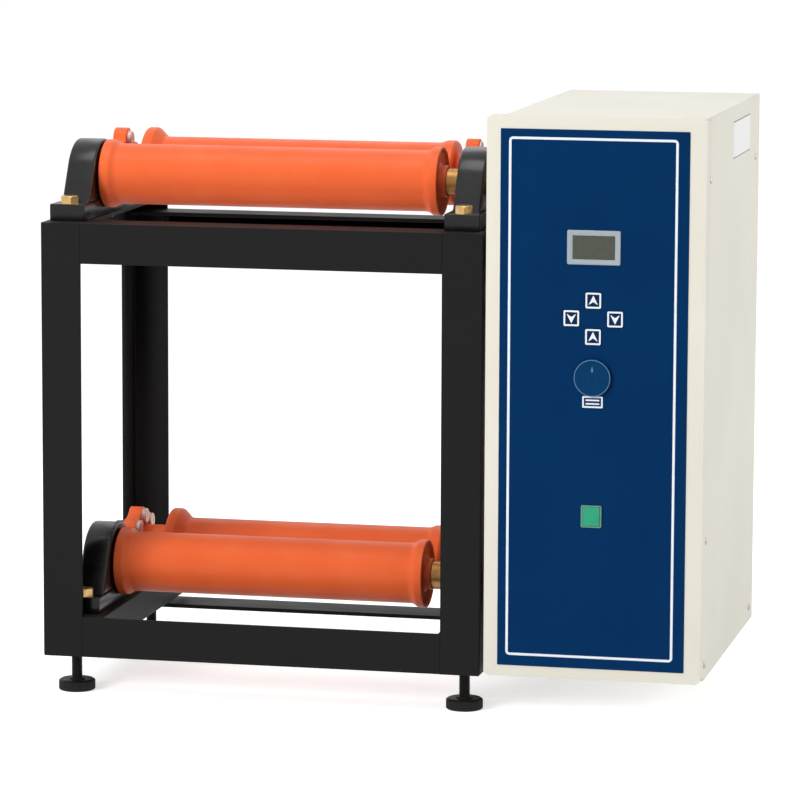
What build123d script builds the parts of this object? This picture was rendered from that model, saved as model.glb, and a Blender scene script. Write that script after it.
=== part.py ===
from build123d import *
from math import sqrt
import os

os.makedirs("parts", exist_ok=True)

# Laboratory ball mill: a welded angle frame with two tiers of rollers, and a drive cabinet
# bolted to its right side. Millimetres, +X to the right, +Y to the back, +Z up.
# The origin lies on the floor, under the middle of the whole machine.

# Welded frame
frame_width = 444.0
frame_height = 434.0
frame_depth = 324.0
angle_leg = 40.0
angle_wall = 4.0
rear_rail_drop = 15.5
rear_bar_width = 46.0
shelf_width = 60.0
shelf_width_right = 43.0
shelf_leg = 30.0
shelf_height = 40.0

# Levelling feet
foot_height = 38.0
foot_disc_diameter = 36.6
foot_disc_height = 11.0
foot_stud_diameter = 11.0
foot_stud_inside = 14.0
foot_inset_left = 27.0
foot_inset_right = 20.0
foot_inset_deep = 25.0
nut_flats = 17.0
nut_height = 9.0
disc_edge_radius = 1.5

# Bearing blocks of the driven rollers
axis_height = 41.0
axis_from_front = 100.0
block_inset_left = 3.0
block_inset_right = 6.9
lower_block_shift = 13.3
block_foot_width = 35.5
block_foot_height = 16.5
block_foot_front = 79.0
block_foot_back = 60.0
pedestal_width = 28.0
pedestal_inset_left = 1.0
pedestal_inset_right = 4.0
pedestal_crown_radius = 44.2
upper_crown_drop = 9.5
lower_crown_drop = 4.8
pedestal_base_half = 59.5
block_edge_radius = 2.0
bolt_from_foot_front = 9.5
bolt_flats = 16.5
bolt_head_height = 8.0
bolt_shank_diameter = 9.0

# Rear bearing blocks
roller_spacing = 94.0
rear_block_width = 13.0
rear_block_inset_left = 2.5
rear_block_inset_right = 7.0
rear_block_crown_radius = 24.5
rear_block_base_half = 33.0
rear_bolt_reach = 13.0

# Shafts and bearings
shaft_diameter = 25.0
bearing_diameter = 52.0
bearing_width = 20.0
rear_shaft_diameter = 20.0
rear_bearing_diameter = 42.0
rear_bearing_width = 12.0
bearing_clearance = 0.05
shaft_end_gap = 2.0

# Rollers
roller_diameter = 60.5
roller_wall = 4.5
roller_end_wall = 9.0
roller_gap_left = 2.1
upper_roller_gap_right = 21.6
lower_roller_gap_right = 34.9
rim_height = 3.8
rim_flat = 9.0
rim_taper = 6.0
hub_diameter = 38.0
hub_length = 5.5

# Rear rollers with their lobed end flanges
collar_diameter = 79.0
collar_flat = 10.5
upper_neck_diameter = 38.0
lower_neck_diameter = 43.0
upper_neck = 20.0
lower_neck = 30.5
rear_rim_height = 2.4
rear_rim_flat = 11.0
upper_rear_end_gap = 26.0
lower_rear_end_gap = 36.3
flange_thickness = 14.0
flange_inset_left = 1.7
flange_gap_right = 3.0
upper_lobe_count = 5
lower_lobe_count = 8
right_lobe_count = 6
upper_lobe_radius = 11.5
lower_lobe_radius = 9.5
right_lobe_radius = 10.5
upper_lobe_pitch_radius = 27.5
lower_lobe_pitch_radius = 30.5
right_lobe_pitch_radius = 24.5
upper_lobe_start_angle = 95.0
lower_lobe_start_angle = 91.0
right_lobe_start_angle = 90.0
upper_flange_core_radius = 30.0
lower_flange_core_radius = 35.0
right_flange_core_radius = 27.0
button_radius = 8.0
button_proud = 4.0

# Cabinet
cabinet_gap = 3.7
cabinet_lift = 1.8
panel_width = 213.3
cabinet_height = 547.3
cabinet_depth = 361.6
panel_depth = 20.0
panel_corner_radius = 5.0
body_inset = 15.6
sheet = 1.5
shaft_hole_radius = 16.0
spacer_radius = 8.0
spacer_bolt_radius = 4.0
spacer_bolt_head_radius = 6.5
spacer_bolt_head_height = 5.0
spacer_bolt_reach = 6.0
spacer_from_post_edge = 10.0
spacer_height_shares = (0.18, 0.82)
screw_head_radius = 3.6
screw_proud = 1.6
screw_shank_radius = 1.6
screw_length = 7.0
screw_inset_front = 6.0
screw_inset_rear = 26.0
front_screw_shares = (0.027, 0.25, 0.89)
rear_screw_shares = (0.027, 0.885)

# Control panel
overlay_width = 183.6
overlay_height = 523.8
overlay_left = 13.7
overlay_bottom = 11.1
overlay_thickness = 0.5
overlay_corner_radius = 0.6
display_width = 52.0
display_height = 33.1
window_width = 42.0
window_height = 23.7
display_proud = 1.5
display_rise = 422.2
display_recess = 0.6
key_size = 16.2
key_proud = 1.0
key_corner_radius = 1.6
key_depth = 4.0
key_spread = 21.3
key_climb = 17.6
key_rise = 353.6
key_travel = 1.0
knob_diameter = 36.7
knob_height = 4.0
knob_lift = 0.4
knob_edge_radius = 1.2
spindle_diameter = 6.0
spindle_reach = 16.0
knob_rise = 296.4
button_width = 20.1
button_height = 21.6
button_rim = 1.3
button_rim_proud = 1.6
button_cap_proud = 2.6
button_rise = 161.2
button_housing_depth = 22.0
button_travel = 1.6
running_gap = 0.3

# Things inside the cabinet
board_width = 120.0
board_height = 200.0
board_thickness = 1.6
board_gap = 10.0
standoff_radius = 3.5
standoff_inset = 8.0
encoder_size = 14.0
drive_width = 90.0
drive_height = 190.0
drive_depth = 110.0
drive_rise = 90.0
fin_thickness = 2.0
fin_depth = 14.0
fin_count = 8
motor_diameter = 88.0
motor_length = 78.0
gearbox_size = 92.0
gearbox_length = 46.0
bracket_plate = 5.0
bracket_arm_gap = 10.0
motor_pulley_diameter = 34.0
roller_pulley_diameter = 68.0
pulley_width = 13.0
pulley_rim = 1.5
pulley_rim_height = 3.0
pulley_gap = 3.0
belt_width = 10.0
belt_thickness = 2.6
motor_shaft_diameter = 14.0
motor_shaft_grip = 20.0

# Back panel
inlet_width = 28.0
inlet_height = 48.0
inlet_depth = 26.0
inlet_proud = 3.0
inlet_flange = 4.0
inlet_rise = 60.0
vent_width = 70.0
vent_slot = 4.0
vent_pitch = 12.0
vent_count = 8
vent_rise = 430.0

# Places worked out from the sizes above
overall_width = frame_width + cabinet_gap + panel_width + screw_proud
knob_front = overlay_thickness + knob_lift + knob_height
overall_depth = knob_front + cabinet_depth + inlet_proud
frame_left = -overall_width / 2
frame_right = frame_left + frame_width
frame_front = knob_front - overall_depth / 2
frame_back = frame_front + frame_depth
frame_bottom = foot_height
frame_top = frame_bottom + frame_height
shelf_top = frame_bottom + shelf_height
front_axis_y = frame_front + axis_from_front
rear_axis_y = front_axis_y + roller_spacing
tier_names = ("upper", "lower")
tier_bases = {"upper": frame_top, "lower": shelf_top}
left_shifts = {"upper": 0, "lower": lower_block_shift}
tier_necks = {"upper": upper_neck, "lower": lower_neck}
neck_diameters = {"upper": upper_neck_diameter, "lower": lower_neck_diameter}
roller_gaps_right = {"upper": upper_roller_gap_right, "lower": lower_roller_gap_right}
rear_end_gaps = {"upper": upper_rear_end_gap, "lower": lower_rear_end_gap}
crown_rises = {"upper": axis_height - upper_crown_drop, "lower": axis_height - lower_crown_drop}
# The left flanges differ by tier; the right ones are alike: pitch radius, count, first angle
lobe_rings = {
    "upper": (upper_lobe_pitch_radius, upper_lobe_count, upper_lobe_start_angle),
    "lower": (lower_lobe_pitch_radius, lower_lobe_count, lower_lobe_start_angle),
    "right": (right_lobe_pitch_radius, right_lobe_count, right_lobe_start_angle),
}
lobe_radii = {"upper": upper_lobe_radius, "lower": lower_lobe_radius, "right": right_lobe_radius}
flange_core_radii = {
    "upper": upper_flange_core_radius,
    "lower": lower_flange_core_radius,
    "right": right_flange_core_radius,
}
panel_left = frame_right + cabinet_gap
panel_right = panel_left + panel_width
body_left = panel_left + body_inset
cabinet_bottom = frame_bottom + cabinet_lift
cabinet_top = cabinet_bottom + cabinet_height
body_front = frame_front + panel_depth
cabinet_back = frame_front + cabinet_depth
control_x = panel_left + overlay_left + overlay_width / 2
overlay_face = frame_front - overlay_thickness
foot_places = {
    "front_left": (frame_left + foot_inset_left, frame_front + foot_inset_deep),
    "front_right": (frame_right - foot_inset_right, frame_front + foot_inset_deep),
    "rear_left": (frame_left + foot_inset_left, frame_back - foot_inset_deep),
    "rear_right": (frame_right - foot_inset_right, frame_back - foot_inset_deep),
}


def slab(x_span, y_span, z_span, mode=Mode.ADD):
    """A block between two corners, given as three (low, high) spans."""
    middle = [(low + high) / 2 for low, high in (x_span, y_span, z_span)]
    with Locations(Location(tuple(middle))):
        Box(x_span[1] - x_span[0], y_span[1] - y_span[0], z_span[1] - z_span[0], mode=mode)


def around_x(axis_y, axis_z):
    """The plane of a turned profile: x along the roller axis, y outwards from it."""
    return Plane(origin=(0, axis_y, axis_z), x_dir=(1, 0, 0), z_dir=(0, -1, 0))


def across_x(x, axis_y, axis_z):
    """A plane across the roller axis: its x is the machine's Y and its y is Z."""
    return Plane(origin=(x, axis_y, axis_z), x_dir=(0, 1, 0), z_dir=(1, 0, 0))


def facing_front(x, y, z):
    """A plane that faces the operator: its x is the machine's X and its y is Z."""
    return Plane(origin=(x, y, z), x_dir=(1, 0, 0), z_dir=(0, -1, 0))


def block_span(tier, side):
    """The span in X of a driven roller's block foot and of its pedestal."""
    if side == "left":
        foot_low = frame_left + block_inset_left + left_shifts[tier]
        pedestal_high = foot_low + block_foot_width - pedestal_inset_left
        return (foot_low, foot_low + block_foot_width), (pedestal_high - pedestal_width, pedestal_high)
    foot_low = frame_right - block_inset_right - block_foot_width
    pedestal_low = foot_low + pedestal_inset_right
    return (foot_low, foot_low + block_foot_width), (pedestal_low, pedestal_low + pedestal_width)


def rear_block_span(tier, side):
    """The span in X of a rear roller's bearing block."""
    foot, _ = block_span(tier, side)
    low = foot[0] + (rear_block_inset_left if side == "left" else rear_block_inset_right)
    return low, low + rear_block_width


def bolt_places(tier):
    """Bolt centres in XY of a tier: the blocks' front bolts, then the rear blocks' bolts."""
    front, rear = [], []
    for side in ("left", "right"):
        foot, _ = block_span(tier, side)
        front.append(((foot[0] + foot[1]) / 2, front_axis_y - block_foot_front + bolt_from_foot_front))
        rear_span = rear_block_span(tier, side)
        rear.append(((rear_span[0] + rear_span[1]) / 2, rear_axis_y))
    return front, rear


# Frame posts: upright angles, their corners outwards
def angle_post(corner_x, corner_y, to_x, to_y):
    with BuildSketch(Plane.XY.offset(frame_bottom)) as section:
        with Locations((corner_x + to_x * angle_leg / 2, corner_y + to_y * angle_wall / 2)):
            Rectangle(angle_leg, angle_wall)
        with Locations((corner_x + to_x * angle_wall / 2, corner_y + to_y * angle_leg / 2)):
            Rectangle(angle_wall, angle_leg)
    extrude(section.sketch, amount=frame_height)


spacer_depths = {
    "front_posts": frame_front + angle_leg - spacer_from_post_edge,
    "rear_posts": frame_back - angle_leg + spacer_from_post_edge,
}
spacer_heights = [frame_bottom + share * frame_height for share in spacer_height_shares]

post_edges = (("front_posts", frame_front, 1), ("rear_posts", frame_back, -1))
for post_name, post_y, post_to_y in post_edges:
    with BuildPart() as posts:
        angle_post(frame_left, post_y, 1, post_to_y)
        angle_post(frame_right, post_y, -1, post_to_y)
        for spacer_z in spacer_heights:
            with BuildSketch(across_x(frame_right - angle_wall, spacer_depths[post_name], spacer_z)):
                Circle(spacer_bolt_radius)
            extrude(amount=angle_wall, mode=Mode.SUBTRACT)
    posts.part.label = post_name
    export_step(posts.part, f"parts/{post_name}.step")

inner_span = (frame_left + angle_leg, frame_right - angle_leg)
flange_span = (frame_left + angle_wall, frame_right - angle_wall)
front_flange_depth = (frame_front + angle_wall, frame_front + angle_leg)
rear_flange_depth = (frame_back - angle_leg, frame_back - angle_wall)

# Front rails, flange inwards: on top for the upper one, at the bottom for the lower one
with BuildPart() as top_front_rail:
    slab(inner_span, (frame_front, frame_front + angle_wall), (frame_top - angle_leg, frame_top))
    slab(flange_span, front_flange_depth, (frame_top - angle_wall, frame_top))
    with BuildSketch(Plane.XY.offset(frame_top - angle_wall)):
        with Locations(*bolt_places("upper")[0]):
            Circle(bolt_shank_diameter / 2)
    extrude(amount=angle_wall, mode=Mode.SUBTRACT)
top_front_rail.part.label = "top_front_rail"
export_step(top_front_rail.part, "parts/top_front_rail.step")


def foot_stud_holes(names):
    """Clearance holes for the levelling studs through the bottom flanges."""
    with BuildSketch(Plane.XY.offset(frame_bottom)) as holes:
        with Locations(*[foot_places[name] for name in names]):
            Circle(foot_stud_diameter / 2 + running_gap)
    extrude(holes.sketch, amount=angle_wall, mode=Mode.SUBTRACT)


with BuildPart() as bottom_front_rail:
    slab(inner_span, (frame_front, frame_front + angle_wall), (frame_bottom, frame_bottom + angle_leg))
    slab(flange_span, front_flange_depth, (frame_bottom, frame_bottom + angle_wall))
    foot_stud_holes(("front_left", "front_right"))
bottom_front_rail.part.label = "bottom_front_rail"
export_step(bottom_front_rail.part, "parts/bottom_front_rail.step")

# Rear rail, set lower than the front one, and the flat bar across the bottom at the back
rear_rail_top = frame_top - rear_rail_drop
with BuildPart() as top_rear_rail:
    slab(inner_span, (frame_back - angle_wall, frame_back), (rear_rail_top - angle_leg, rear_rail_top))
    slab(flange_span, rear_flange_depth, (rear_rail_top - angle_wall, rear_rail_top))
top_rear_rail.part.label = "top_rear_rail"
export_step(top_rear_rail.part, "parts/top_rear_rail.step")

bar_front = frame_back - angle_wall - rear_bar_width
with BuildPart() as bottom_rear_bar:
    slab(flange_span, (bar_front, frame_back - angle_wall), (frame_bottom, frame_bottom + angle_wall))
    foot_stud_holes(("rear_left", "rear_right"))
bottom_rear_bar.part.label = "bottom_rear_bar"
export_step(bottom_rear_bar.part, "parts/bottom_rear_bar.step")

# Side rails
side_span = (frame_front + angle_leg, frame_back - angle_leg)
with BuildPart() as top_side_rails:
    for edge, to_x in ((frame_left, 1), (frame_right, -1)):
        wall = sorted((edge, edge + to_x * angle_wall))
        flange = sorted((edge + to_x * angle_wall, edge + to_x * angle_leg))
        slab(wall, side_span, (frame_top - angle_leg, frame_top))
        slab(flange, (side_span[0], frame_back - angle_wall), (frame_top - angle_wall, frame_top))
    with BuildSketch(Plane.XY.offset(frame_top - angle_wall)):
        with Locations(*bolt_places("upper")[1]):
            Circle(bolt_shank_diameter / 2)
    extrude(amount=angle_wall, mode=Mode.SUBTRACT)
top_side_rails.part.label = "top_side_rails"
export_step(top_side_rails.part, "parts/top_side_rails.step")

with BuildPart() as bottom_side_rails:
    for edge, to_x in ((frame_left, 1), (frame_right, -1)):
        wall = sorted((edge, edge + to_x * angle_wall))
        flange = sorted((edge + to_x * angle_wall, edge + to_x * angle_leg))
        slab(wall, side_span, (frame_bottom, frame_bottom + angle_leg))
        slab(flange, (side_span[0], bar_front), (frame_bottom, frame_bottom + angle_wall))
bottom_side_rails.part.label = "bottom_side_rails"
export_step(bottom_side_rails.part, "parts/bottom_side_rails.step")

# Shelves that carry the lower blocks: angles turned down at their inner edge
with BuildPart() as lower_shelves:
    for edge, to_x, width in ((frame_left, 1, shelf_width), (frame_right, -1, shelf_width_right)):
        plate = sorted((edge + to_x * angle_wall, edge + to_x * width))
        leg = sorted((edge + to_x * (width - angle_wall), edge + to_x * width))
        depth = (frame_front + angle_wall, frame_back - angle_wall)
        slab(plate, depth, (shelf_top - angle_wall, shelf_top))
        slab(leg, depth, (shelf_top - shelf_leg, shelf_top))
    with BuildSketch(Plane.XY.offset(shelf_top - angle_wall)):
        with Locations(*bolt_places("lower")[0], *bolt_places("lower")[1]):
            Circle(bolt_shank_diameter / 2)
    extrude(amount=angle_wall, mode=Mode.SUBTRACT)
lower_shelves.part.label = "lower_shelves"
export_step(lower_shelves.part, "parts/lower_shelves.step")

# Levelling feet: a disc and a threaded stud, turned in one piece
for foot_name, (foot_x, foot_y) in foot_places.items():
    with BuildPart() as levelling_foot:
        with BuildSketch(Plane.XY):
            with Locations((foot_x, foot_y)):
                Circle(foot_disc_diameter / 2)
        extrude(amount=foot_disc_height)
        fillet(levelling_foot.edges().group_by(Axis.Z)[-1], disc_edge_radius)
        with BuildSketch(Plane.XY.offset(foot_disc_height)):
            with Locations((foot_x, foot_y)):
                Circle(foot_stud_diameter / 2)
        extrude(amount=frame_bottom + foot_stud_inside - foot_disc_height)
    levelling_foot.part.label = f"levelling_foot_{foot_name}"
    export_step(levelling_foot.part, f"parts/levelling_foot_{foot_name}.step")


# Hexagon nuts welded on the flanges, for the feet and under the blocks' front bolts
with BuildPart() as weld_nuts:
    with BuildSketch(Plane.XY.offset(frame_bottom + angle_wall)):
        with Locations(*foot_places.values()):
            RegularPolygon(nut_flats / 2, 6, major_radius=False)
            Circle(foot_stud_diameter / 2 + bearing_clearance, mode=Mode.SUBTRACT)
    extrude(amount=nut_height)
    for tier in tier_names:
        front, _ = bolt_places(tier)
        with BuildSketch(Plane.XY.offset(tier_bases[tier] - angle_wall - nut_height)):
            with Locations(*front):
                RegularPolygon(nut_flats / 2, 6, major_radius=False)
                Circle(bolt_shank_diameter / 2, mode=Mode.SUBTRACT)
        extrude(amount=nut_height)
weld_nuts.part.label = "weld_nuts"
export_step(weld_nuts.part, "parts/weld_nuts.step")

# Yellow-passivated hexagon bolts: down through the feet, and up into the rear blocks
with BuildPart() as block_bolts:
    for tier in tier_names:
        front, rear = bolt_places(tier)
        base = tier_bases[tier]
        with BuildSketch(Plane.XY.offset(base + block_foot_height)):
            with Locations(*front):
                RegularPolygon(bolt_flats / 2, 6, major_radius=False)
        extrude(amount=bolt_head_height)
        with BuildSketch(Plane.XY.offset(base - angle_wall - nut_height)):
            with Locations(*front):
                Circle(bolt_shank_diameter / 2)
        extrude(amount=nut_height + angle_wall + block_foot_height)
        with BuildSketch(Plane.XY.offset(base - angle_wall - bolt_head_height)):
            with Locations(*rear):
                RegularPolygon(rear_block_width / 2 - bearing_clearance, 6, major_radius=False)
        extrude(amount=bolt_head_height)
        with BuildSketch(Plane.XY.offset(base - angle_wall)):
            with Locations(*rear):
                Circle(bolt_shank_diameter / 2)
        extrude(amount=angle_wall + rear_bolt_reach)
block_bolts.part.label = "block_bolts"
export_step(block_bolts.part, "parts/block_bolts.step")


def crowned_profile(base_half, base_rise, crown_rise, crown_radius):
    """A crown arc with straight sides that run from it, tangent, down to the base."""
    drop = crown_rise - base_rise
    reach = sqrt(base_half ** 2 + drop ** 2)
    tangent = sqrt(reach ** 2 - crown_radius ** 2)
    along_y = (base_half * crown_radius + drop * tangent) / reach
    along_z = (base_half * tangent - drop * crown_radius) / reach
    touch_y = crown_radius * along_y / reach
    touch_z = crown_rise + crown_radius * along_z / reach
    with BuildLine() as outline:
        Line((-base_half, base_rise), (base_half, base_rise))
        Line((base_half, base_rise), (touch_y, touch_z))
        ThreePointArc((touch_y, touch_z), (0, crown_rise + crown_radius), (-touch_y, touch_z))
        Line((-touch_y, touch_z), (-base_half, base_rise))
    make_face(outline.edges())


# Bearing blocks of the driven rollers: a long foot and a crowned pedestal
for tier in tier_names:
    for side in ("left", "right"):
        foot, pedestal = block_span(tier, side)
        base = tier_bases[tier]
        foot_y = (front_axis_y - block_foot_front, front_axis_y + block_foot_back)
        with BuildPart() as block:
            with BuildSketch(across_x(pedestal[0], front_axis_y, base)):
                crowned_profile(
                    pedestal_base_half, block_foot_height, crown_rises[tier], pedestal_crown_radius
                )
            extrude(amount=pedestal_width)
            fillet(block.edges().filter_by(GeomType.CIRCLE), block_edge_radius)
            slab(foot, foot_y, (base, base + block_foot_height))
            with BuildSketch(across_x(pedestal[0], front_axis_y, base + axis_height)):
                Circle(bearing_diameter / 2)
            extrude(amount=pedestal_width, mode=Mode.SUBTRACT)
            with BuildSketch(Plane.XY.offset(base)):
                with Locations(((foot[0] + foot[1]) / 2, foot_y[0] + bolt_from_foot_front)):
                    Circle(bolt_shank_diameter / 2)
            extrude(amount=block_foot_height, mode=Mode.SUBTRACT)
        block.part.label = f"{tier}_{side}_bearing_block"
        export_step(block.part, f"parts/{tier}_{side}_bearing_block.step")

# Rear bearing blocks: low plates with a crowned top, tapped from below
with BuildPart() as rear_bearing_blocks:
    for tier in tier_names:
        for side in ("left", "right"):
            span = rear_block_span(tier, side)
            base = tier_bases[tier]
            with BuildSketch(across_x(span[0], rear_axis_y, base)):
                crowned_profile(rear_block_base_half, 0, axis_height, rear_block_crown_radius)
                with Locations((0, axis_height)):
                    Circle(rear_bearing_diameter / 2, mode=Mode.SUBTRACT)
            extrude(amount=rear_block_width)
            with BuildSketch(Plane.XY.offset(base)):
                with Locations(((span[0] + span[1]) / 2, rear_axis_y)):
                    Circle(bolt_shank_diameter / 2)
            extrude(amount=rear_bolt_reach, mode=Mode.SUBTRACT)
rear_bearing_blocks.part.label = "rear_bearing_blocks"
export_step(rear_bearing_blocks.part, "parts/rear_bearing_blocks.step")

# Ball bearings, each as one ring
with BuildPart() as front_bearings:
    for tier in tier_names:
        for side in ("left", "right"):
            _, pedestal = block_span(tier, side)
            ring_low = (pedestal[0] + pedestal[1] - bearing_width) / 2
            with BuildSketch(across_x(ring_low, front_axis_y, tier_bases[tier] + axis_height)):
                Circle(bearing_diameter / 2)
                Circle(shaft_diameter / 2 + bearing_clearance, mode=Mode.SUBTRACT)
            extrude(amount=bearing_width)
front_bearings.part.label = "front_bearings"
export_step(front_bearings.part, "parts/front_bearings.step")

with BuildPart() as rear_bearings:
    for tier in tier_names:
        for side in ("left", "right"):
            span = rear_block_span(tier, side)
            ring_low = (span[0] + span[1] - rear_bearing_width) / 2
            with BuildSketch(across_x(ring_low, rear_axis_y, tier_bases[tier] + axis_height)):
                Circle(rear_bearing_diameter / 2)
                Circle(rear_shaft_diameter / 2 + bearing_clearance, mode=Mode.SUBTRACT)
            extrude(amount=rear_bearing_width)
rear_bearings.part.label = "rear_bearings"
export_step(rear_bearings.part, "parts/rear_bearings.step")

# Places of the belt drive inside the cabinet
upper_belt_x = body_left + sheet + bracket_arm_gap
lower_belt_x = upper_belt_x + pulley_width + pulley_gap
belt_planes = {"upper": upper_belt_x, "lower": lower_belt_x}
motor_axis_z = (frame_top + shelf_top) / 2 + axis_height
bracket_face = lower_belt_x + pulley_width + pulley_gap


def turned(points, axis_y, axis_z):
    """A solid turned about a roller axis from (x, radius) points."""
    with BuildSketch(around_x(axis_y, axis_z)) as profile:
        with BuildLine():
            Polyline(*points, close=True)
        make_face()
    revolve(profile.sketch, axis=Axis((0, axis_y, axis_z), (1, 0, 0)))


# Driven rollers and their shafts, pulleys and belts
body_radius = roller_diameter / 2
rim_radius = body_radius + rim_height
bore_radius = body_radius - roller_wall
shaft_radius = shaft_diameter / 2
for tier in tier_names:
    axis_z = tier_bases[tier] + axis_height
    _, left_pedestal = block_span(tier, "left")
    _, right_pedestal = block_span(tier, "right")
    low = left_pedestal[1] + roller_gap_left
    high = right_pedestal[0] - roller_gaps_right[tier]
    with BuildPart() as front_roller:
        turned(
            (
                (low, shaft_radius),
                (low, rim_radius),
                (low + rim_flat, rim_radius),
                (low + rim_flat + rim_taper, body_radius),
                (high - rim_flat - rim_taper, body_radius),
                (high - rim_flat, rim_radius),
                (high, rim_radius),
                (high, hub_diameter / 2),
                (high + hub_length, hub_diameter / 2),
                (high + hub_length, shaft_radius),
                (high - roller_end_wall, shaft_radius),
                (high - roller_end_wall, bore_radius),
                (low + roller_end_wall, bore_radius),
                (low + roller_end_wall, shaft_radius),
            ),
            front_axis_y,
            axis_z,
        )
    front_roller.part.label = f"{tier}_front_roller"
    export_step(front_roller.part, f"parts/{tier}_front_roller.step")

    shaft_low = left_pedestal[0] + shaft_end_gap
    shaft_high = belt_planes[tier] + pulley_width
    with BuildPart() as front_shaft:
        with BuildSketch(across_x(shaft_low, front_axis_y, axis_z)):
            Circle(shaft_radius)
        extrude(amount=shaft_high - shaft_low)
    front_shaft.part.label = f"{tier}_front_shaft"
    export_step(front_shaft.part, f"parts/{tier}_front_shaft.step")

    pulley_low = belt_planes[tier]
    pulley_radius = roller_pulley_diameter / 2
    cheek_radius = pulley_radius + pulley_rim_height
    with BuildPart() as roller_pulley:
        turned(
            (
                (pulley_low, shaft_radius),
                (pulley_low, cheek_radius),
                (pulley_low + pulley_rim, cheek_radius),
                (pulley_low + pulley_rim, pulley_radius),
                (pulley_low + pulley_width - pulley_rim, pulley_radius),
                (pulley_low + pulley_width - pulley_rim, cheek_radius),
                (pulley_low + pulley_width, cheek_radius),
                (pulley_low + pulley_width, shaft_radius),
            ),
            front_axis_y,
            axis_z,
        )
    roller_pulley.part.label = f"{tier}_roller_pulley"
    export_step(roller_pulley.part, f"parts/{tier}_roller_pulley.step")

# Belts: each a flat loop round its roller pulley and the motor pulley
with BuildPart() as drive_belts:
    for tier, rise in (("upper", 1), ("lower", -1)):
        axis_z = tier_bases[tier] + axis_height
        span_z = abs(axis_z - motor_axis_z)
        big = roller_pulley_diameter / 2 + running_gap
        small = motor_pulley_diameter / 2 + running_gap
        belt_low = belt_planes[tier] + (pulley_width - belt_width) / 2
        lean = (big - small) / span_z
        upright = sqrt(1 - lean ** 2)
        with BuildSketch(across_x(belt_low, front_axis_y, motor_axis_z)):
            for grow, mode in ((belt_thickness, Mode.ADD), (0, Mode.SUBTRACT)):
                outer_big = big + grow
                outer_small = small + grow
                with BuildLine():
                    top_y = outer_big * upright
                    top_z = rise * (span_z - outer_big * lean)
                    low_y = outer_small * upright
                    low_z = -rise * outer_small * lean
                    Line((low_y, low_z), (top_y, top_z))
                    ThreePointArc((top_y, top_z), (0, rise * (span_z + outer_big)), (-top_y, top_z))
                    Line((-top_y, top_z), (-low_y, low_z))
                    ThreePointArc((-low_y, low_z), (0, -rise * outer_small), (low_y, low_z))
                make_face(mode=mode)
        extrude(amount=belt_width)
drive_belts.part.label = "drive_belts"
export_step(drive_belts.part, "parts/drive_belts.step")

# Motor pulley with two grooves, in one piece with the motor's output shaft
groove_radius = motor_pulley_diameter / 2
cheek_radius = groove_radius + pulley_rim_height
upper_low = upper_belt_x
lower_low = lower_belt_x
shaft_end = bracket_face + bracket_plate + motor_shaft_grip
with BuildPart() as motor_pulley:
    turned(
        (
            (upper_low, 0),
            (upper_low, cheek_radius),
            (upper_low + pulley_rim, cheek_radius),
            (upper_low + pulley_rim, groove_radius),
            (upper_low + pulley_width - pulley_rim, groove_radius),
            (upper_low + pulley_width - pulley_rim, cheek_radius),
            (lower_low + pulley_rim, cheek_radius),
            (lower_low + pulley_rim, groove_radius),
            (lower_low + pulley_width - pulley_rim, groove_radius),
            (lower_low + pulley_width - pulley_rim, cheek_radius),
            (lower_low + pulley_width, cheek_radius),
            (lower_low + pulley_width, motor_shaft_diameter / 2),
            (shaft_end, motor_shaft_diameter / 2),
            (shaft_end, 0),
        ),
        front_axis_y,
        motor_axis_z,
    )
motor_pulley.part.label = "motor_pulley"
export_step(motor_pulley.part, "parts/motor_pulley.step")

# Motor bracket: a face plate on two arms from the cabinet's left wall
wall_inside = body_left + sheet
arm_low = front_axis_y - gearbox_size / 2
arm_high = front_axis_y + gearbox_size / 2
plate_z = (motor_axis_z - gearbox_size / 2, motor_axis_z + gearbox_size / 2)
with BuildPart() as motor_bracket:
    slab((bracket_face, bracket_face + bracket_plate), (arm_low, arm_high), plate_z)
    for arm_y in ((arm_low, arm_low + bracket_plate), (arm_high - bracket_plate, arm_high)):
        slab((wall_inside, bracket_face), arm_y, plate_z)
    with BuildSketch(across_x(bracket_face, front_axis_y, motor_axis_z)):
        Circle(motor_shaft_diameter / 2 + running_gap)
    extrude(amount=bracket_plate, mode=Mode.SUBTRACT)
motor_bracket.part.label = "motor_bracket"
export_step(motor_bracket.part, "parts/motor_bracket.step")

# Gear motor: a square gearbox with a round motor behind it
gearbox_low = bracket_face + bracket_plate
with BuildPart() as gear_motor:
    slab((gearbox_low, gearbox_low + gearbox_length), (arm_low, arm_high), plate_z)
    fillet(gear_motor.edges().filter_by(Axis.X), panel_corner_radius)
    with BuildSketch(across_x(gearbox_low + gearbox_length, front_axis_y, motor_axis_z)):
        Circle(motor_diameter / 2)
    extrude(amount=motor_length)
    with BuildSketch(across_x(gearbox_low, front_axis_y, motor_axis_z)):
        Circle(motor_shaft_diameter / 2 + bearing_clearance)
    extrude(amount=motor_shaft_grip, mode=Mode.SUBTRACT)
gear_motor.part.label = "gear_motor"
export_step(gear_motor.part, "parts/gear_motor.step")

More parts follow.
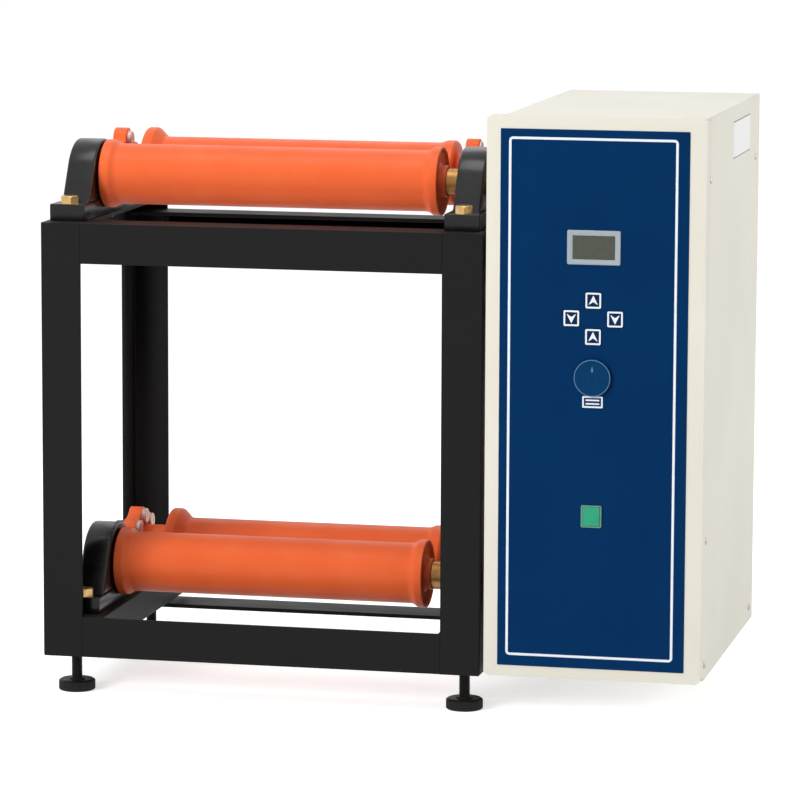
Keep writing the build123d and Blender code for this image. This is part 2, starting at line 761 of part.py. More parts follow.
# Rear rollers: a collar and a neck at the left end, a low rim at the right end
rear_shaft_radius = rear_shaft_diameter / 2
rear_rim_radius = body_radius + rear_rim_height
collar_radius = collar_diameter / 2
collar_taper = collar_radius - body_radius
for tier in tier_names:
    axis_z = tier_bases[tier] + axis_height
    _, left_pedestal = block_span(tier, "left")
    _, right_pedestal = block_span(tier, "right")
    neck_radius = neck_diameters[tier] / 2
    neck_low = left_pedestal[1] - flange_inset_left
    collar_low = neck_low + tier_necks[tier]
    high = right_pedestal[0] - rear_end_gaps[tier]
    neck_high = right_pedestal[0] - flange_gap_right - flange_thickness
    with BuildPart() as rear_roller:
        turned(
            (
                (neck_low, rear_shaft_radius),
                (neck_low, neck_radius),
                (collar_low, neck_radius),
                (collar_low, collar_radius),
                (collar_low + collar_flat, collar_radius),
                (collar_low + collar_flat + collar_taper, body_radius),
                (high - rear_rim_flat - rim_taper, body_radius),
                (high - rear_rim_flat, rear_rim_radius),
                (high - rear_rim_height, rear_rim_radius),
                (high, body_radius),
                (high, neck_radius),
                (neck_high, neck_radius),
                (neck_high, rear_shaft_radius),
                (high - roller_end_wall, rear_shaft_radius),
                (high - roller_end_wall, bore_radius),
                (collar_low + roller_end_wall, bore_radius),
                (collar_low + roller_end_wall, rear_shaft_radius),
            ),
            rear_axis_y,
            axis_z,
        )
    rear_roller.part.label = f"{tier}_rear_roller"
    export_step(rear_roller.part, f"parts/{tier}_rear_roller.step")

    shaft_low = rear_block_span(tier, "left")[0] + shaft_end_gap
    shaft_high = rear_block_span(tier, "right")[1] - shaft_end_gap
    with BuildPart() as rear_shaft:
        with BuildSketch(across_x(shaft_low, rear_axis_y, axis_z)):
            Circle(rear_shaft_radius)
        extrude(amount=shaft_high - shaft_low)
    rear_shaft.part.label = f"{tier}_rear_shaft"
    export_step(rear_shaft.part, f"parts/{tier}_rear_shaft.step")

    with BuildPart() as lobed_flanges:
        for flange_low, kind in ((neck_low - flange_thickness, tier), (neck_high, "right")):
            with BuildSketch(across_x(flange_low, rear_axis_y, axis_z)):
                Circle(flange_core_radii[kind])
                with PolarLocations(*lobe_rings[kind]):
                    Circle(lobe_radii[kind])
                with PolarLocations(*lobe_rings[kind]):
                    Circle(button_radius, mode=Mode.SUBTRACT)
                Circle(rear_shaft_radius, mode=Mode.SUBTRACT)
            extrude(amount=flange_thickness)
    lobed_flanges.part.label = f"{tier}_lobed_flanges"
    export_step(lobed_flanges.part, f"parts/{tier}_lobed_flanges.step")

    with BuildPart() as flange_buttons:
        for flange_low, kind, reach in (
            (neck_low - flange_thickness, tier, flange_thickness + button_proud),
            (neck_high, "right", flange_thickness + button_proud / 2),
        ):
            with BuildSketch(across_x(flange_low, rear_axis_y, axis_z)):
                with PolarLocations(*lobe_rings[kind]):
                    Circle(button_radius)
            extrude(amount=reach)
    flange_buttons.part.label = f"{tier}_flange_buttons"
    export_step(flange_buttons.part, f"parts/{tier}_flange_buttons.step")

# Cabinet chassis: the left wall and the base, one bent sheet
with BuildPart() as chassis:
    slab((body_left, body_left + sheet), (body_front, cabinet_back), (cabinet_bottom, cabinet_top - sheet))
    slab(
        (body_left, panel_right - sheet),
        (body_front, cabinet_back),
        (cabinet_bottom, cabinet_bottom + sheet),
    )
    for tier in tier_names:
        with BuildSketch(across_x(body_left, front_axis_y, tier_bases[tier] + axis_height)):
            Circle(shaft_hole_radius)
        extrude(amount=sheet, mode=Mode.SUBTRACT)
    for spacer_y in spacer_depths.values():
        for spacer_z in spacer_heights:
            with BuildSketch(across_x(body_left, spacer_y, spacer_z)):
                Circle(spacer_bolt_radius)
            extrude(amount=sheet, mode=Mode.SUBTRACT)
chassis.part.label = "chassis"
export_step(chassis.part, "parts/chassis.step")

# Spacers between the frame's right posts and the chassis, and the bolts through them
with BuildPart() as cabinet_spacers:
    for spacer_y in spacer_depths.values():
        for spacer_z in spacer_heights:
            with BuildSketch(across_x(frame_right, spacer_y, spacer_z)):
                Circle(spacer_radius)
                Circle(spacer_bolt_radius, mode=Mode.SUBTRACT)
            extrude(amount=body_left - frame_right)
cabinet_spacers.part.label = "cabinet_spacers"
export_step(cabinet_spacers.part, "parts/cabinet_spacers.step")

with BuildPart() as cabinet_bolts:
    for spacer_y in spacer_depths.values():
        for spacer_z in spacer_heights:
            head_x = frame_right - angle_wall - spacer_bolt_head_height
            with BuildSketch(across_x(head_x, spacer_y, spacer_z)):
                RegularPolygon(spacer_bolt_head_radius, 6, major_radius=False)
            extrude(amount=spacer_bolt_head_height)
            shank_end = body_left + sheet + spacer_bolt_reach
            with BuildSketch(across_x(frame_right - angle_wall, spacer_y, spacer_z)):
                Circle(spacer_bolt_radius)
            extrude(amount=shank_end - frame_right + angle_wall)
cabinet_bolts.part.label = "cabinet_bolts"
export_step(cabinet_bolts.part, "parts/cabinet_bolts.step")

# Cover: the top and the right side, one bent sheet, held by the screws on its side
front_screw_y = body_front + screw_inset_front
rear_screw_y = cabinet_back - screw_inset_rear
screw_places = [
    (screw_y, cabinet_bottom + share * cabinet_height)
    for screw_y, shares in ((front_screw_y, front_screw_shares), (rear_screw_y, rear_screw_shares))
    for share in shares
]
with BuildPart() as cover:
    slab((body_left, panel_right), (body_front, cabinet_back), (cabinet_top - sheet, cabinet_top))
    slab((panel_right - sheet, panel_right), (body_front, cabinet_back), (cabinet_bottom, cabinet_top))
    with BuildSketch(across_x(panel_right - sheet, 0, 0)):
        with Locations(*screw_places):
            Circle(screw_shank_radius)
    extrude(amount=sheet, mode=Mode.SUBTRACT)
cover.part.label = "cover"
export_step(cover.part, "parts/cover.step")

with BuildPart() as cover_screws:
    with BuildSketch(across_x(panel_right, 0, 0)):
        with Locations(*screw_places):
            Circle(screw_head_radius)
    extrude(amount=screw_proud)
    with BuildSketch(across_x(panel_right + screw_proud - screw_length, 0, 0)):
        with Locations(*screw_places):
            Circle(screw_shank_radius)
    extrude(amount=screw_length - screw_proud)
cover_screws.part.label = "cover_screws"
export_step(cover_screws.part, "parts/cover_screws.step")

# Back panel with vent slots and the mains inlet's cut-out
inlet_z = cabinet_bottom + inlet_rise
with BuildPart() as back_panel:
    slab(
        (body_left + sheet, panel_right - sheet),
        (cabinet_back - sheet, cabinet_back),
        (cabinet_bottom + sheet, cabinet_top - sheet),
    )
    vent_plane = facing_front(control_x, cabinet_back, cabinet_bottom + vent_rise)
    with BuildSketch(vent_plane):
        with GridLocations(0, vent_pitch, 1, vent_count):
            SlotOverall(vent_width, vent_slot)
    extrude(amount=sheet, mode=Mode.SUBTRACT)
    with BuildSketch(facing_front(control_x, cabinet_back, inlet_z)):
        Rectangle(inlet_width, inlet_height)
    extrude(amount=sheet, mode=Mode.SUBTRACT)
back_panel.part.label = "back_panel"
export_step(back_panel.part, "parts/back_panel.step")

# Mains inlet: a socket body with a flange on the back panel
with BuildPart() as mains_inlet:
    with BuildSketch(facing_front(control_x, cabinet_back + inlet_proud, inlet_z)):
        Rectangle(inlet_width + 2 * inlet_flange, inlet_height + 2 * inlet_flange)
    extrude(amount=inlet_proud)
    fillet(mains_inlet.edges().filter_by(Axis.Y), inlet_flange / 2)
    with BuildSketch(facing_front(control_x, cabinet_back, inlet_z)):
        Rectangle(inlet_width, inlet_height)
    extrude(amount=inlet_depth)
    with BuildSketch(facing_front(control_x, cabinet_back + inlet_proud, inlet_z)):
        Rectangle(inlet_width - 2 * inlet_flange, inlet_height / 2 - inlet_flange)
    extrude(amount=inlet_depth / 2, mode=Mode.SUBTRACT)
mains_inlet.part.label = "mains_inlet"
export_step(mains_inlet.part, "parts/mains_inlet.step")

# Centres of the controls on the front
display_z = cabinet_bottom + display_rise
key_z = cabinet_bottom + key_rise
knob_z = cabinet_bottom + knob_rise
start_z = cabinet_bottom + button_rise
key_places = {
    "key_up": (control_x, key_z + key_climb),
    "key_left": (control_x - key_spread, key_z),
    "key_right": (control_x + key_spread, key_z),
    "key_down": (control_x, key_z - key_climb),
}


def control_holes(depth):
    """The cut-outs for the controls, through a sheet of the given thickness."""
    with BuildSketch(facing_front(0, frame_front + sheet, 0)) as cutouts:
        with Locations((control_x, display_z)):
            Rectangle(window_width, window_height)
        with Locations(*key_places.values()):
            RectangleRounded(key_size + 2 * running_gap, key_size + 2 * running_gap, key_corner_radius)
        with Locations((control_x, knob_z)):
            Circle(spindle_diameter / 2 + running_gap)
        with Locations((control_x, start_z)):
            Rectangle(button_width - 2 * button_rim, button_height - 2 * button_rim)
    extrude(cutouts.sketch, amount=depth, mode=Mode.SUBTRACT)


# Front panel: a shallow tray, open at the back
tray_back = facing_front((panel_left + panel_right) / 2, body_front, (cabinet_bottom + cabinet_top) / 2)
with BuildPart() as front_panel:
    with BuildSketch(tray_back):
        RectangleRounded(panel_width, cabinet_height, panel_corner_radius)
    extrude(amount=panel_depth)
    with BuildSketch(tray_back):
        RectangleRounded(panel_width - 2 * sheet, cabinet_height - 2 * sheet, panel_corner_radius - sheet)
    extrude(amount=panel_depth - sheet, mode=Mode.SUBTRACT)
    control_holes(sheet)
front_panel.part.label = "front_panel"
export_step(front_panel.part, "parts/front_panel.step")

# Blue overlay on the panel
overlay_x = panel_left + overlay_left + overlay_width / 2
overlay_z = cabinet_bottom + overlay_bottom + overlay_height / 2
with BuildPart() as panel_overlay:
    with BuildSketch(facing_front(overlay_x, frame_front, overlay_z)):
        RectangleRounded(overlay_width, overlay_height, overlay_corner_radius)
    extrude(amount=overlay_thickness)
    control_holes(sheet + overlay_thickness)
panel_overlay.part.label = "panel_overlay"
export_step(panel_overlay.part, "parts/panel_overlay.step")

# Display: a bezel on the overlay and the module seen through it
with BuildPart() as display_bezel:
    with BuildSketch(facing_front(control_x, overlay_face, display_z)):
        RectangleRounded(display_width, display_height, panel_corner_radius / 2)
        Rectangle(window_width, window_height, mode=Mode.SUBTRACT)
    extrude(amount=display_proud)
display_bezel.part.label = "display_bezel"
export_step(display_bezel.part, "parts/display_bezel.step")

board_face = frame_front + sheet + board_gap
with BuildPart() as display_module:
    with BuildSketch(facing_front(control_x, board_face, display_z)):
        Rectangle(window_width, window_height)
    extrude(amount=board_face - overlay_face + display_proud - display_recess)
display_module.part.label = "display_module"
export_step(display_module.part, "parts/display_module.step")

# Arrow keys: short-travel caps
for key_name, (key_x, key_centre_z) in key_places.items():
    with BuildPart() as key:
        with BuildSketch(facing_front(key_x, frame_front + key_depth, key_centre_z)):
            RectangleRounded(key_size, key_size, key_corner_radius)
        extrude(amount=key_depth + overlay_thickness + key_proud)
    key.part.label = key_name
    export_step(key.part, f"parts/{key_name}.step")

# Speed knob with its spindle
knob_back = overlay_face - knob_lift
with BuildPart() as speed_knob:
    with BuildSketch(facing_front(control_x, knob_back, knob_z)):
        Circle(knob_diameter / 2)
    extrude(amount=knob_height)
    fillet(speed_knob.edges().group_by(Axis.Y)[0], knob_edge_radius)
    with BuildSketch(facing_front(control_x, knob_back + spindle_reach, knob_z)):
        Circle(spindle_diameter / 2)
    extrude(amount=spindle_reach)
speed_knob.part.label = "speed_knob"
export_step(speed_knob.part, "parts/speed_knob.step")

# Start button: a rim before the panel, its body behind it, and the cap that travels in them
cap_width = button_width - 2 * button_rim - 2 * running_gap
cap_height = button_height - 2 * button_rim - 2 * running_gap
with BuildPart() as button_housing:
    with BuildSketch(facing_front(control_x, overlay_face, start_z)):
        RectangleRounded(button_width, button_height, key_corner_radius)
        Rectangle(button_width - 2 * button_rim, button_height - 2 * button_rim, mode=Mode.SUBTRACT)
    extrude(amount=button_rim_proud)
    body_face = frame_front + sheet
    with BuildSketch(facing_front(control_x, body_face + button_housing_depth, start_z)):
        Rectangle(button_width + 2 * button_rim, button_height + 2 * button_rim)
    extrude(amount=button_housing_depth)
    well_depth = key_depth - sheet + button_travel + running_gap
    with BuildSketch(facing_front(control_x, body_face + well_depth, start_z)):
        Rectangle(button_width - 2 * button_rim, button_height - 2 * button_rim)
    extrude(amount=well_depth, mode=Mode.SUBTRACT)
button_housing.part.label = "button_housing"
export_step(button_housing.part, "parts/button_housing.step")

with BuildPart() as start_button:
    with BuildSketch(facing_front(control_x, frame_front + key_depth, start_z)):
        RectangleRounded(cap_width, cap_height, key_corner_radius / 2)
    extrude(amount=key_depth + overlay_thickness + button_cap_proud)
start_button.part.label = "start_button"
export_step(start_button.part, "parts/start_button.step")

# Control board on four standoffs, with switches behind the keys and the knob's encoder
board_centre_z = (display_z + knob_z) / 2
standoff_x = board_width / 2 - standoff_inset
standoff_z = board_height / 2 - standoff_inset
board_places = [
    (control_x + to_x * standoff_x, board_centre_z + to_z * standoff_z)
    for to_x in (-1, 1)
    for to_z in (-1, 1)
]
switch_gap = key_travel + running_gap
with BuildPart() as control_board:
    with BuildSketch(facing_front(control_x, board_face + board_thickness, board_centre_z)):
        Rectangle(board_width, board_height)
    extrude(amount=board_thickness)
    with BuildSketch(facing_front(0, board_face, 0)):
        with Locations(*board_places):
            Circle(standoff_radius)
    extrude(amount=board_gap)
    with BuildSketch(facing_front(0, board_face, 0)):
        with Locations(*key_places.values()):
            Rectangle(key_size / 2, key_size / 2)
    extrude(amount=board_face - frame_front - key_depth - switch_gap)
    with BuildSketch(facing_front(control_x, board_face + encoder_size / 2, knob_z)):
        Rectangle(encoder_size, encoder_size)
        Circle(spindle_diameter / 2 + bearing_clearance, mode=Mode.SUBTRACT)
    extrude(amount=encoder_size / 2 + board_gap / 2)
    with BuildSketch(facing_front(control_x, board_face + board_thickness, knob_z)):
        Circle(spindle_diameter / 2 + bearing_clearance)
    extrude(amount=board_thickness, mode=Mode.SUBTRACT)
control_board.part.label = "control_board"
export_step(control_board.part, "parts/control_board.step")

# Motor speed drive, a finned box on the inside of the back panel
drive_back = cabinet_back - sheet
drive_bottom = cabinet_bottom + drive_rise
with BuildPart() as speed_drive:
    slab(
        (control_x - drive_width / 2, control_x + drive_width / 2),
        (drive_back - drive_depth, drive_back),
        (drive_bottom, drive_bottom + drive_height),
    )
    fillet(speed_drive.edges().filter_by(Axis.Z), fin_thickness)
    with BuildSketch(facing_front(control_x, drive_back - drive_depth, drive_bottom + drive_height / 2)):
        with GridLocations(0, drive_height / fin_count, 1, fin_count):
            Rectangle(drive_width - 2 * fin_depth, fin_thickness)
    extrude(amount=fin_depth)
speed_drive.part.label = "speed_drive"
export_step(speed_drive.part, "parts/speed_drive.step")
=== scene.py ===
"""Looks of the two-tier laboratory ball mill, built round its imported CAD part.

Shapes are given in millimetres, +X to the cabinet, +Y to the back, +Z up, and become metres in piece().
"""

import math

import bmesh
import bpy
import numpy as np
from mathutils import Matrix, Vector


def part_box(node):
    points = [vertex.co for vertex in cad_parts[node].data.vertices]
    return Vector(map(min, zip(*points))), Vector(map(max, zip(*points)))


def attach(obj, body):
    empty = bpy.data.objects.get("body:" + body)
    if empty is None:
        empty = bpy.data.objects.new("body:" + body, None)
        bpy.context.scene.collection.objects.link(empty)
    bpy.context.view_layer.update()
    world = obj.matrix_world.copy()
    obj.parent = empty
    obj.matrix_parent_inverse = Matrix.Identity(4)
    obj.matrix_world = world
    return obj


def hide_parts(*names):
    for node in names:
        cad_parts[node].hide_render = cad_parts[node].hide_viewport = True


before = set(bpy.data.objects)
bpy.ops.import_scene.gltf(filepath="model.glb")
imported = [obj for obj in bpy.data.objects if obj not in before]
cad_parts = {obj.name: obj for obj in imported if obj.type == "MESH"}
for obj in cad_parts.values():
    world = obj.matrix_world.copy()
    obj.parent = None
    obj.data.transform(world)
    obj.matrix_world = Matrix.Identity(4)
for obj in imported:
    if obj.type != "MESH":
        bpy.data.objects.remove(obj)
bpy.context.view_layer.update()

MM = 0.001


def in_scene(name, data):
    """A new object in the scene."""
    made = bpy.data.objects.new(name, data)
    bpy.context.scene.collection.objects.link(made)
    return made


def bare_tree(owner):
    """The emptied node tree of a material or world."""
    owner.use_nodes = True
    owner.node_tree.nodes.clear()
    return owner.node_tree


# ---- Places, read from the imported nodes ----


def corners(node):
    """The lowest and highest corner of a CAD node, in millimetres."""
    low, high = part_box(node)
    return np.array(low) / MM, np.array(high) / MM


posts_low, posts_high = corners("front_posts")
frame_left, frame_right = posts_low[0], posts_high[0]
frame_front, frame_bottom, frame_top = posts_low[1], posts_low[2], posts_high[2]
frame_back = corners("rear_posts")[1][1]
shelf_top = corners("lower_shelves")[1][2]
angle_leg, angle_wall = 40.0, 4.0
# The shafts lie this far above the angle that carries their blocks, and this far behind the frame's front
axis_height, front_axis, rear_axis = 41.0, frame_front + 100.0, frame_front + 194.0
# Each tier's name, the face that its blocks stand on, and its front and rear axes
tiers = [
    (tier, base, (front_axis, base + axis_height), (rear_axis, base + axis_height))
    for tier, base in (("upper", frame_top), ("lower", shelf_top))
]
panel_low, panel_high = corners("front_panel")
overlay_low, overlay_high = corners("panel_overlay")
overlay_face = overlay_low[1]

# ---- Camera ----

# Fitted to the photograph. Its place and the limit of its sight are in metres, its turn, dip and roll in
# degrees, and its focal length in widths of the picture
CAMERA_AT = Vector((0.9390, -4.26925, 0.9028))
CAMERA_TURN, CAMERA_DIP, CAMERA_ROLL = (math.radians(a) for a in (12.505, 8.082, 0.229))
FOCAL_LENGTH = 5.43975
SENSOR_WIDTH = 36.0
SIGHT_LIMIT = 100.0


def aim(turn, dip, roll):
    """The camera's rotation: it looks along (-sin t cos d, cos t cos d, -sin d), rolled about that line."""
    forward = Vector((-math.sin(turn) * math.cos(dip), math.cos(turn) * math.cos(dip), -math.sin(dip)))
    right = Vector((math.cos(turn), math.sin(turn), 0))
    up = right.cross(forward)
    rolled = math.cos(roll) * right + math.sin(roll) * up
    upright = -math.sin(roll) * right + math.cos(roll) * up
    return Matrix((rolled, upright, -forward)).transposed().to_quaternion()


camera_data = bpy.data.cameras.new("camera")
camera_data.sensor_width = SENSOR_WIDTH
camera_data.lens = SENSOR_WIDTH * FOCAL_LENGTH
camera_data.clip_end = SIGHT_LIMIT
camera = in_scene("camera", camera_data)
camera.location = CAMERA_AT
camera.rotation_mode = "QUATERNION"
camera.rotation_quaternion = aim(CAMERA_TURN, CAMERA_DIP, CAMERA_ROLL)
bpy.context.scene.camera = camera

# ---- Materials ----


def srgb(code):
    """A six-digit sRGB colour as linear RGBA: below 0.04045 a 12.92nd, above it a power of 2.4."""
    parts = np.array([int(code[i : i + 2], 16) for i in (0, 2, 4)]) / 255
    linear = np.where(parts <= 0.04045, parts / 12.92, ((parts + 0.055) / 1.055) ** 2.4)
    return (*linear.tolist(), 1.0)


def add(tree, kind, **settings):
    """Adds one shader node. A name in lower case is a property and any other a socket, which is linked if its
    value is another socket."""
    made = tree.nodes.new(kind)
    for key, value in settings.items():
        if key.islower():
            setattr(made, key, value)
            continue
        socket = next(s for s in made.inputs if key in (s.identifier, s.name.replace(" ", "_")))
        if isinstance(value, bpy.types.NodeSocket):
            tree.links.new(value, socket)
        else:
            socket.default_value = value
    return made


def surface(name, colour, **sockets):
    """A material with one Principled shader: gives its tree, shader and Object coordinates."""
    material = bpy.data.materials.new(name)
    tree = bare_tree(material)
    place = add(tree, "ShaderNodeTexCoord").outputs["Object"]
    shader = add(tree, "ShaderNodeBsdfPrincipled", Base_Color=srgb(colour), **sockets)
    add(tree, "ShaderNodeOutputMaterial", Surface=shader.outputs["BSDF"])
    return material, tree, shader, place


def blotched(tree, shader, place, size_mm, first, second, rough):
    """Slow blotches, size_mm across, of two colours and of a span of roughness."""
    cloud = add(
        tree, "ShaderNodeTexNoise", Vector=place, Scale=1 / (size_mm * MM), Detail=3.0, Roughness=0.6
    ).outputs["Fac"]
    # Nearly all of the noise lies between these values
    spread = {"Value": cloud, "From_Min": 0.3, "From_Max": 0.7}
    share = add(tree, "ShaderNodeMapRange", **spread).outputs["Result"]
    mix = add(
        tree, "ShaderNodeMix", data_type="RGBA", Factor_Float=share, A_Color=srgb(first), B_Color=srgb(second)
    )
    tint = next(s for s in mix.outputs if s.identifier == "Result_Color")
    tree.links.new(tint, shader.inputs["Base Color"])
    gloss = add(tree, "ShaderNodeMapRange", **spread, To_Min=rough[0], To_Max=rough[1])
    tree.links.new(gloss.outputs["Result"], shader.inputs["Roughness"])


def grained(tree, shader, place, grain_mm, depth_mm, stretch):
    """A fine bumpy grain, grain_mm from crest to crest and depth_mm deep, drawn out along an axis by a small
    stretch value."""
    spread = add(tree, "ShaderNodeMapping", Vector=place, Scale=stretch).outputs["Vector"]
    grain = add(
        tree, "ShaderNodeTexNoise", Vector=spread, Scale=1 / (grain_mm * MM), Detail=2.0
    ).outputs["Fac"]
    bump = add(tree, "ShaderNodeBump", Height=grain, Distance=depth_mm * MM, Strength=1.0)
    tree.links.new(bump.outputs["Normal"], shader.inputs["Normal"])


def coated(
    name, first, second, blotch_mm, rough, grain_mm, depth_mm, stretch=(1, 1, 1), sheen=0.5, metal=0.0
):
    """A finish with blotches and a grain; sheen is its Specular IOR Level and metal its Metallic value."""
    material, tree, shader, place = surface(name, first, Specular_IOR_Level=sheen, Metallic=metal)
    blotched(tree, shader, place, blotch_mm, first, second, rough)
    grained(tree, shader, place, grain_mm, depth_mm, stretch)
    return material


# The marks of grinding and turning are drawn out round the X axis
ROUND_X = (3, 0.3, 0.3)

# Black polyester powder coat on the welded angles: a dull sheen and a fine orange peel. Its crests lie 1.5 mm
# apart, about twice the real size, so that they show
black_powder = coated("black_powder_coat", "181818", "1c1b1b", 90, (0.48, 0.6), 1.5, 0.02, sheen=0.15)
# Black enamel brushed on grey iron castings: glossier, and the casting's grain shows through it
casting_enamel = coated("black_enamel_on_cast_iron", "0b0b0b", "11100f", 25, (0.2, 0.3), 2.2, 0.03, sheen=0.4)
# Orange polyurethane enamel sprayed on the steel rollers: satin, with a soft peel
orange_enamel = coated("orange_sprayed_enamel", "f16a36", "ec6330", 45, (0.4, 0.5), 2.5, 0.015, sheen=0.3)
# Yellow-passivated zinc on the steel bolts: golden and slightly uneven. The inlet's brass pins share it
yellow_zinc = coated("yellow_passivated_zinc", "e9c78d", "d6aa68", 6, (0.22, 0.34), 0.8, 0.01, metal=1.0)
# The same plating, rougher, on the driven shafts: browner for painted shade and the rollers' painted orange
# reflection
dull_yellow_zinc = coated(
    "dull_yellow_zinc", "b98c56", "a87c48", 8, (0.42, 0.52), 0.9, 0.01, ROUND_X, metal=1.0
)
# Ground steel of the idle shafts: bright, with the grinding marks round them
ground_steel = coated("ground_steel", "b3b3b1", "a6a6a5", 12, (0.24, 0.34), 0.9, 0.006, ROUND_X, metal=1.0)
# Hardened and polished steel of the bearing rings: bright, with sharp reflections
bearing_steel = coated("polished_bearing_steel", "c4c4c3", "b9b9b8", 10, (0.12, 0.2), 2.0, 0.002, metal=1.0)
# Bright zinc plate of the nuts, spacers and screws: pale, faintly spangled
zinc_plate = coated("bright_zinc_plate", "cdc4bd", "b8b1ab", 4, (0.3, 0.45), 1.2, 0.012, metal=1.0)
# Duller zinc of the flange buttons and their seats, with a warm cast
button_zinc = coated("dull_zinc_buttons", "dcc0b4", "cdb2a6", 5, (0.45, 0.6), 1.2, 0.02, metal=1.0)
# Cream epoxy powder coat on the sheet-metal cabinet: fine peel, soft sheen
cream_powder = coated("cream_powder_coat", "e9e6d9", "e5e1d3", 160, (0.42, 0.52), 1.3, 0.015, sheen=0.4)
# Blue polyester film, printed on its back: smooth with a light matting
blue_film = coated("blue_printed_film", "002d5a", "01315e", 120, (0.34, 0.42), 0.8, 0.003, sheen=0.05)
# White ink on the film and the keys, for border, outlines and arrows: a soft sheen
white_ink = coated("white_ink_on_film", "f0f4fb", "eaf0f8", 30, (0.4, 0.5), 0.8, 0.002)
# Dull silicone of the key caps, a shade darker than the film
key_silicone = coated("blue_key_silicone", "01284f", "002449", 8, (0.5, 0.6), 0.7, 0.006, sheen=0.12)
# Blue ABS of the knob: lighter than the film and spun matt
knob_plastic = coated("blue_moulded_knob", "01365e", "043b65", 14, (0.4, 0.5), 0.8, 0.006, sheen=0.08)
# Blue-grey ink of the knob's ring and pointer, paler than the knob
knob_ink = coated("pale_blue_ink", "547da4", "5a83aa", 10, (0.4, 0.5), 0.8, 0.002)
# Pale grey ABS bezel, moulded with a light spark texture
bezel_plastic = coated("pale_grey_moulded_bezel", "a6b0b6", "9ea8af", 12, (0.38, 0.48), 0.7, 0.01)
# Green acrylic lens of the start button: glossy
green_lens = coated("green_acrylic_lens", "30a67e", "2a9f77", 8, (0.14, 0.22), 2.0, 0.004, sheen=0.25)
# Grey-green nylon of the button's rim: satin beside the glossy lens
nylon_rim = coated("grey_green_nylon", "6d9b88", "66927f", 6, (0.4, 0.5), 0.7, 0.008)
# Black nitrile rubber of the belts: matt
black_rubber = coated("black_nitrile_rubber", "1b1b1b", "222222", 8, (0.6, 0.75), 0.9, 0.02)
# Black moulded nylon of the feet and the inlet: a low sheen
black_nylon = coated("black_moulded_nylon", "141413", "1a1a19", 14, (0.4, 0.52), 0.9, 0.015, sheen=0.2)
# Machinery grey enamel on the gear motor's casting, whose grain shows
motor_enamel = coated("grey_motor_enamel", "6d7378", "646a6f", 20, (0.35, 0.5), 1.8, 0.04)
# Turned aluminium of the pulleys and the speed drive's heat sink: pale, with the marks of the tool
turned_aluminium = coated(
    "turned_aluminium", "c6c8ca", "b9bbbd", 15, (0.28, 0.4), 0.9, 0.01, ROUND_X, metal=1.0
)
# Glass-epoxy circuit board under green solder mask: smooth and half glossy
board_mask = coated("green_solder_mask", "12523a", "0f4932", 5, (0.3, 0.4), 1.0, 0.02)
# White vinyl label: almost matt paper white
white_vinyl = coated("white_vinyl_label", "fbfafb", "f7f6f7", 20, (0.5, 0.62), 0.9, 0.006)
# Dull dark ink of the label's edge lines; on the cover's seam the same colour is a painted shadow
dark_ink_and_shadow = coated("dark_grey_ink", "3d3b3a", "4a4846", 10, (0.5, 0.6), 0.9, 0.004)


def display_glass():
    """A reflective LCD behind a hard-coated window: grey-olive, with its faint cells, each 2.3 by 4.4 mm."""
    material, tree, shader, place = surface(
        "grey_olive_lcd", "4d5046",
        Roughness=0.32, Specular_IOR_Level=0.25, Coat_Weight=0.1, Coat_Roughness=0.08,
    )
    turned_up = add(tree, "ShaderNodeMapping", Vector=place, Rotation=(math.pi / 2, 0, 0)).outputs["Vector"]
    cells = add(
        tree, "ShaderNodeTexBrick", Vector=turned_up, offset=0.0, Scale=1.0,
        Color1=srgb("4d5046"), Color2=srgb("505349"), Mortar=srgb("484b41"),
        Mortar_Size=0.2 * MM, Mortar_Smooth=0.3, Brick_Width=2.3 * MM, Row_Height=4.4 * MM,
    )
    tree.links.new(cells.outputs["Color"], shader.inputs["Base Color"])
    return material


lcd_glass = display_glass()

# ---- Shapes, in which t is an angle ----

CORNER_SIGNS = np.array([(-1, -1), (1, -1), (1, 1), (-1, 1)])
# A round corner takes up at most this share of its sides
SIDE_SHARE = 0.49
# The rings of a dome, as shares of its brim
DOME_SHARES = (0.85, 0.65, 0.45, 0.25)
# A hexagonal head: points round it, its end face in shares of its flats, and its chamfer's slope and land
HEXAGON_POINTS, END_FACE_SHARE, CHAMFER_SLOPE, CHAMFER_LAND = 96, 0.465, 1.6 * math.tan(math.pi / 6), 0.35
# A thread's depth in shares of its pitch, and a weld bead's ripple length and swelling
THREAD_DEPTH, BEAD_RIPPLE, BEAD_SWELLING = 0.27, 3.2, 0.12
# In degrees: faces that meet more flatly than the first are one face, an edge sharper than the second may be
# rounded, and surfaces are smooth up to the third, or to the last on hexagons
FLAT_ANGLE, EDGE_ANGLE, SMOOTH_ANGLE, HEXAGON_SMOOTH = 0.5, 40, 32, 25
# Corners nearer than this, in metres, are one
MERGE_DISTANCE = 1e-6


def full_turn(count):
    """So many angles, evenly round a circle."""
    return np.linspace(0, 2 * np.pi, count, endpoint=False)


def rays(t):
    """Unit vectors (cos t, sin t)."""
    return np.stack([np.cos(t), np.sin(t)], -1)


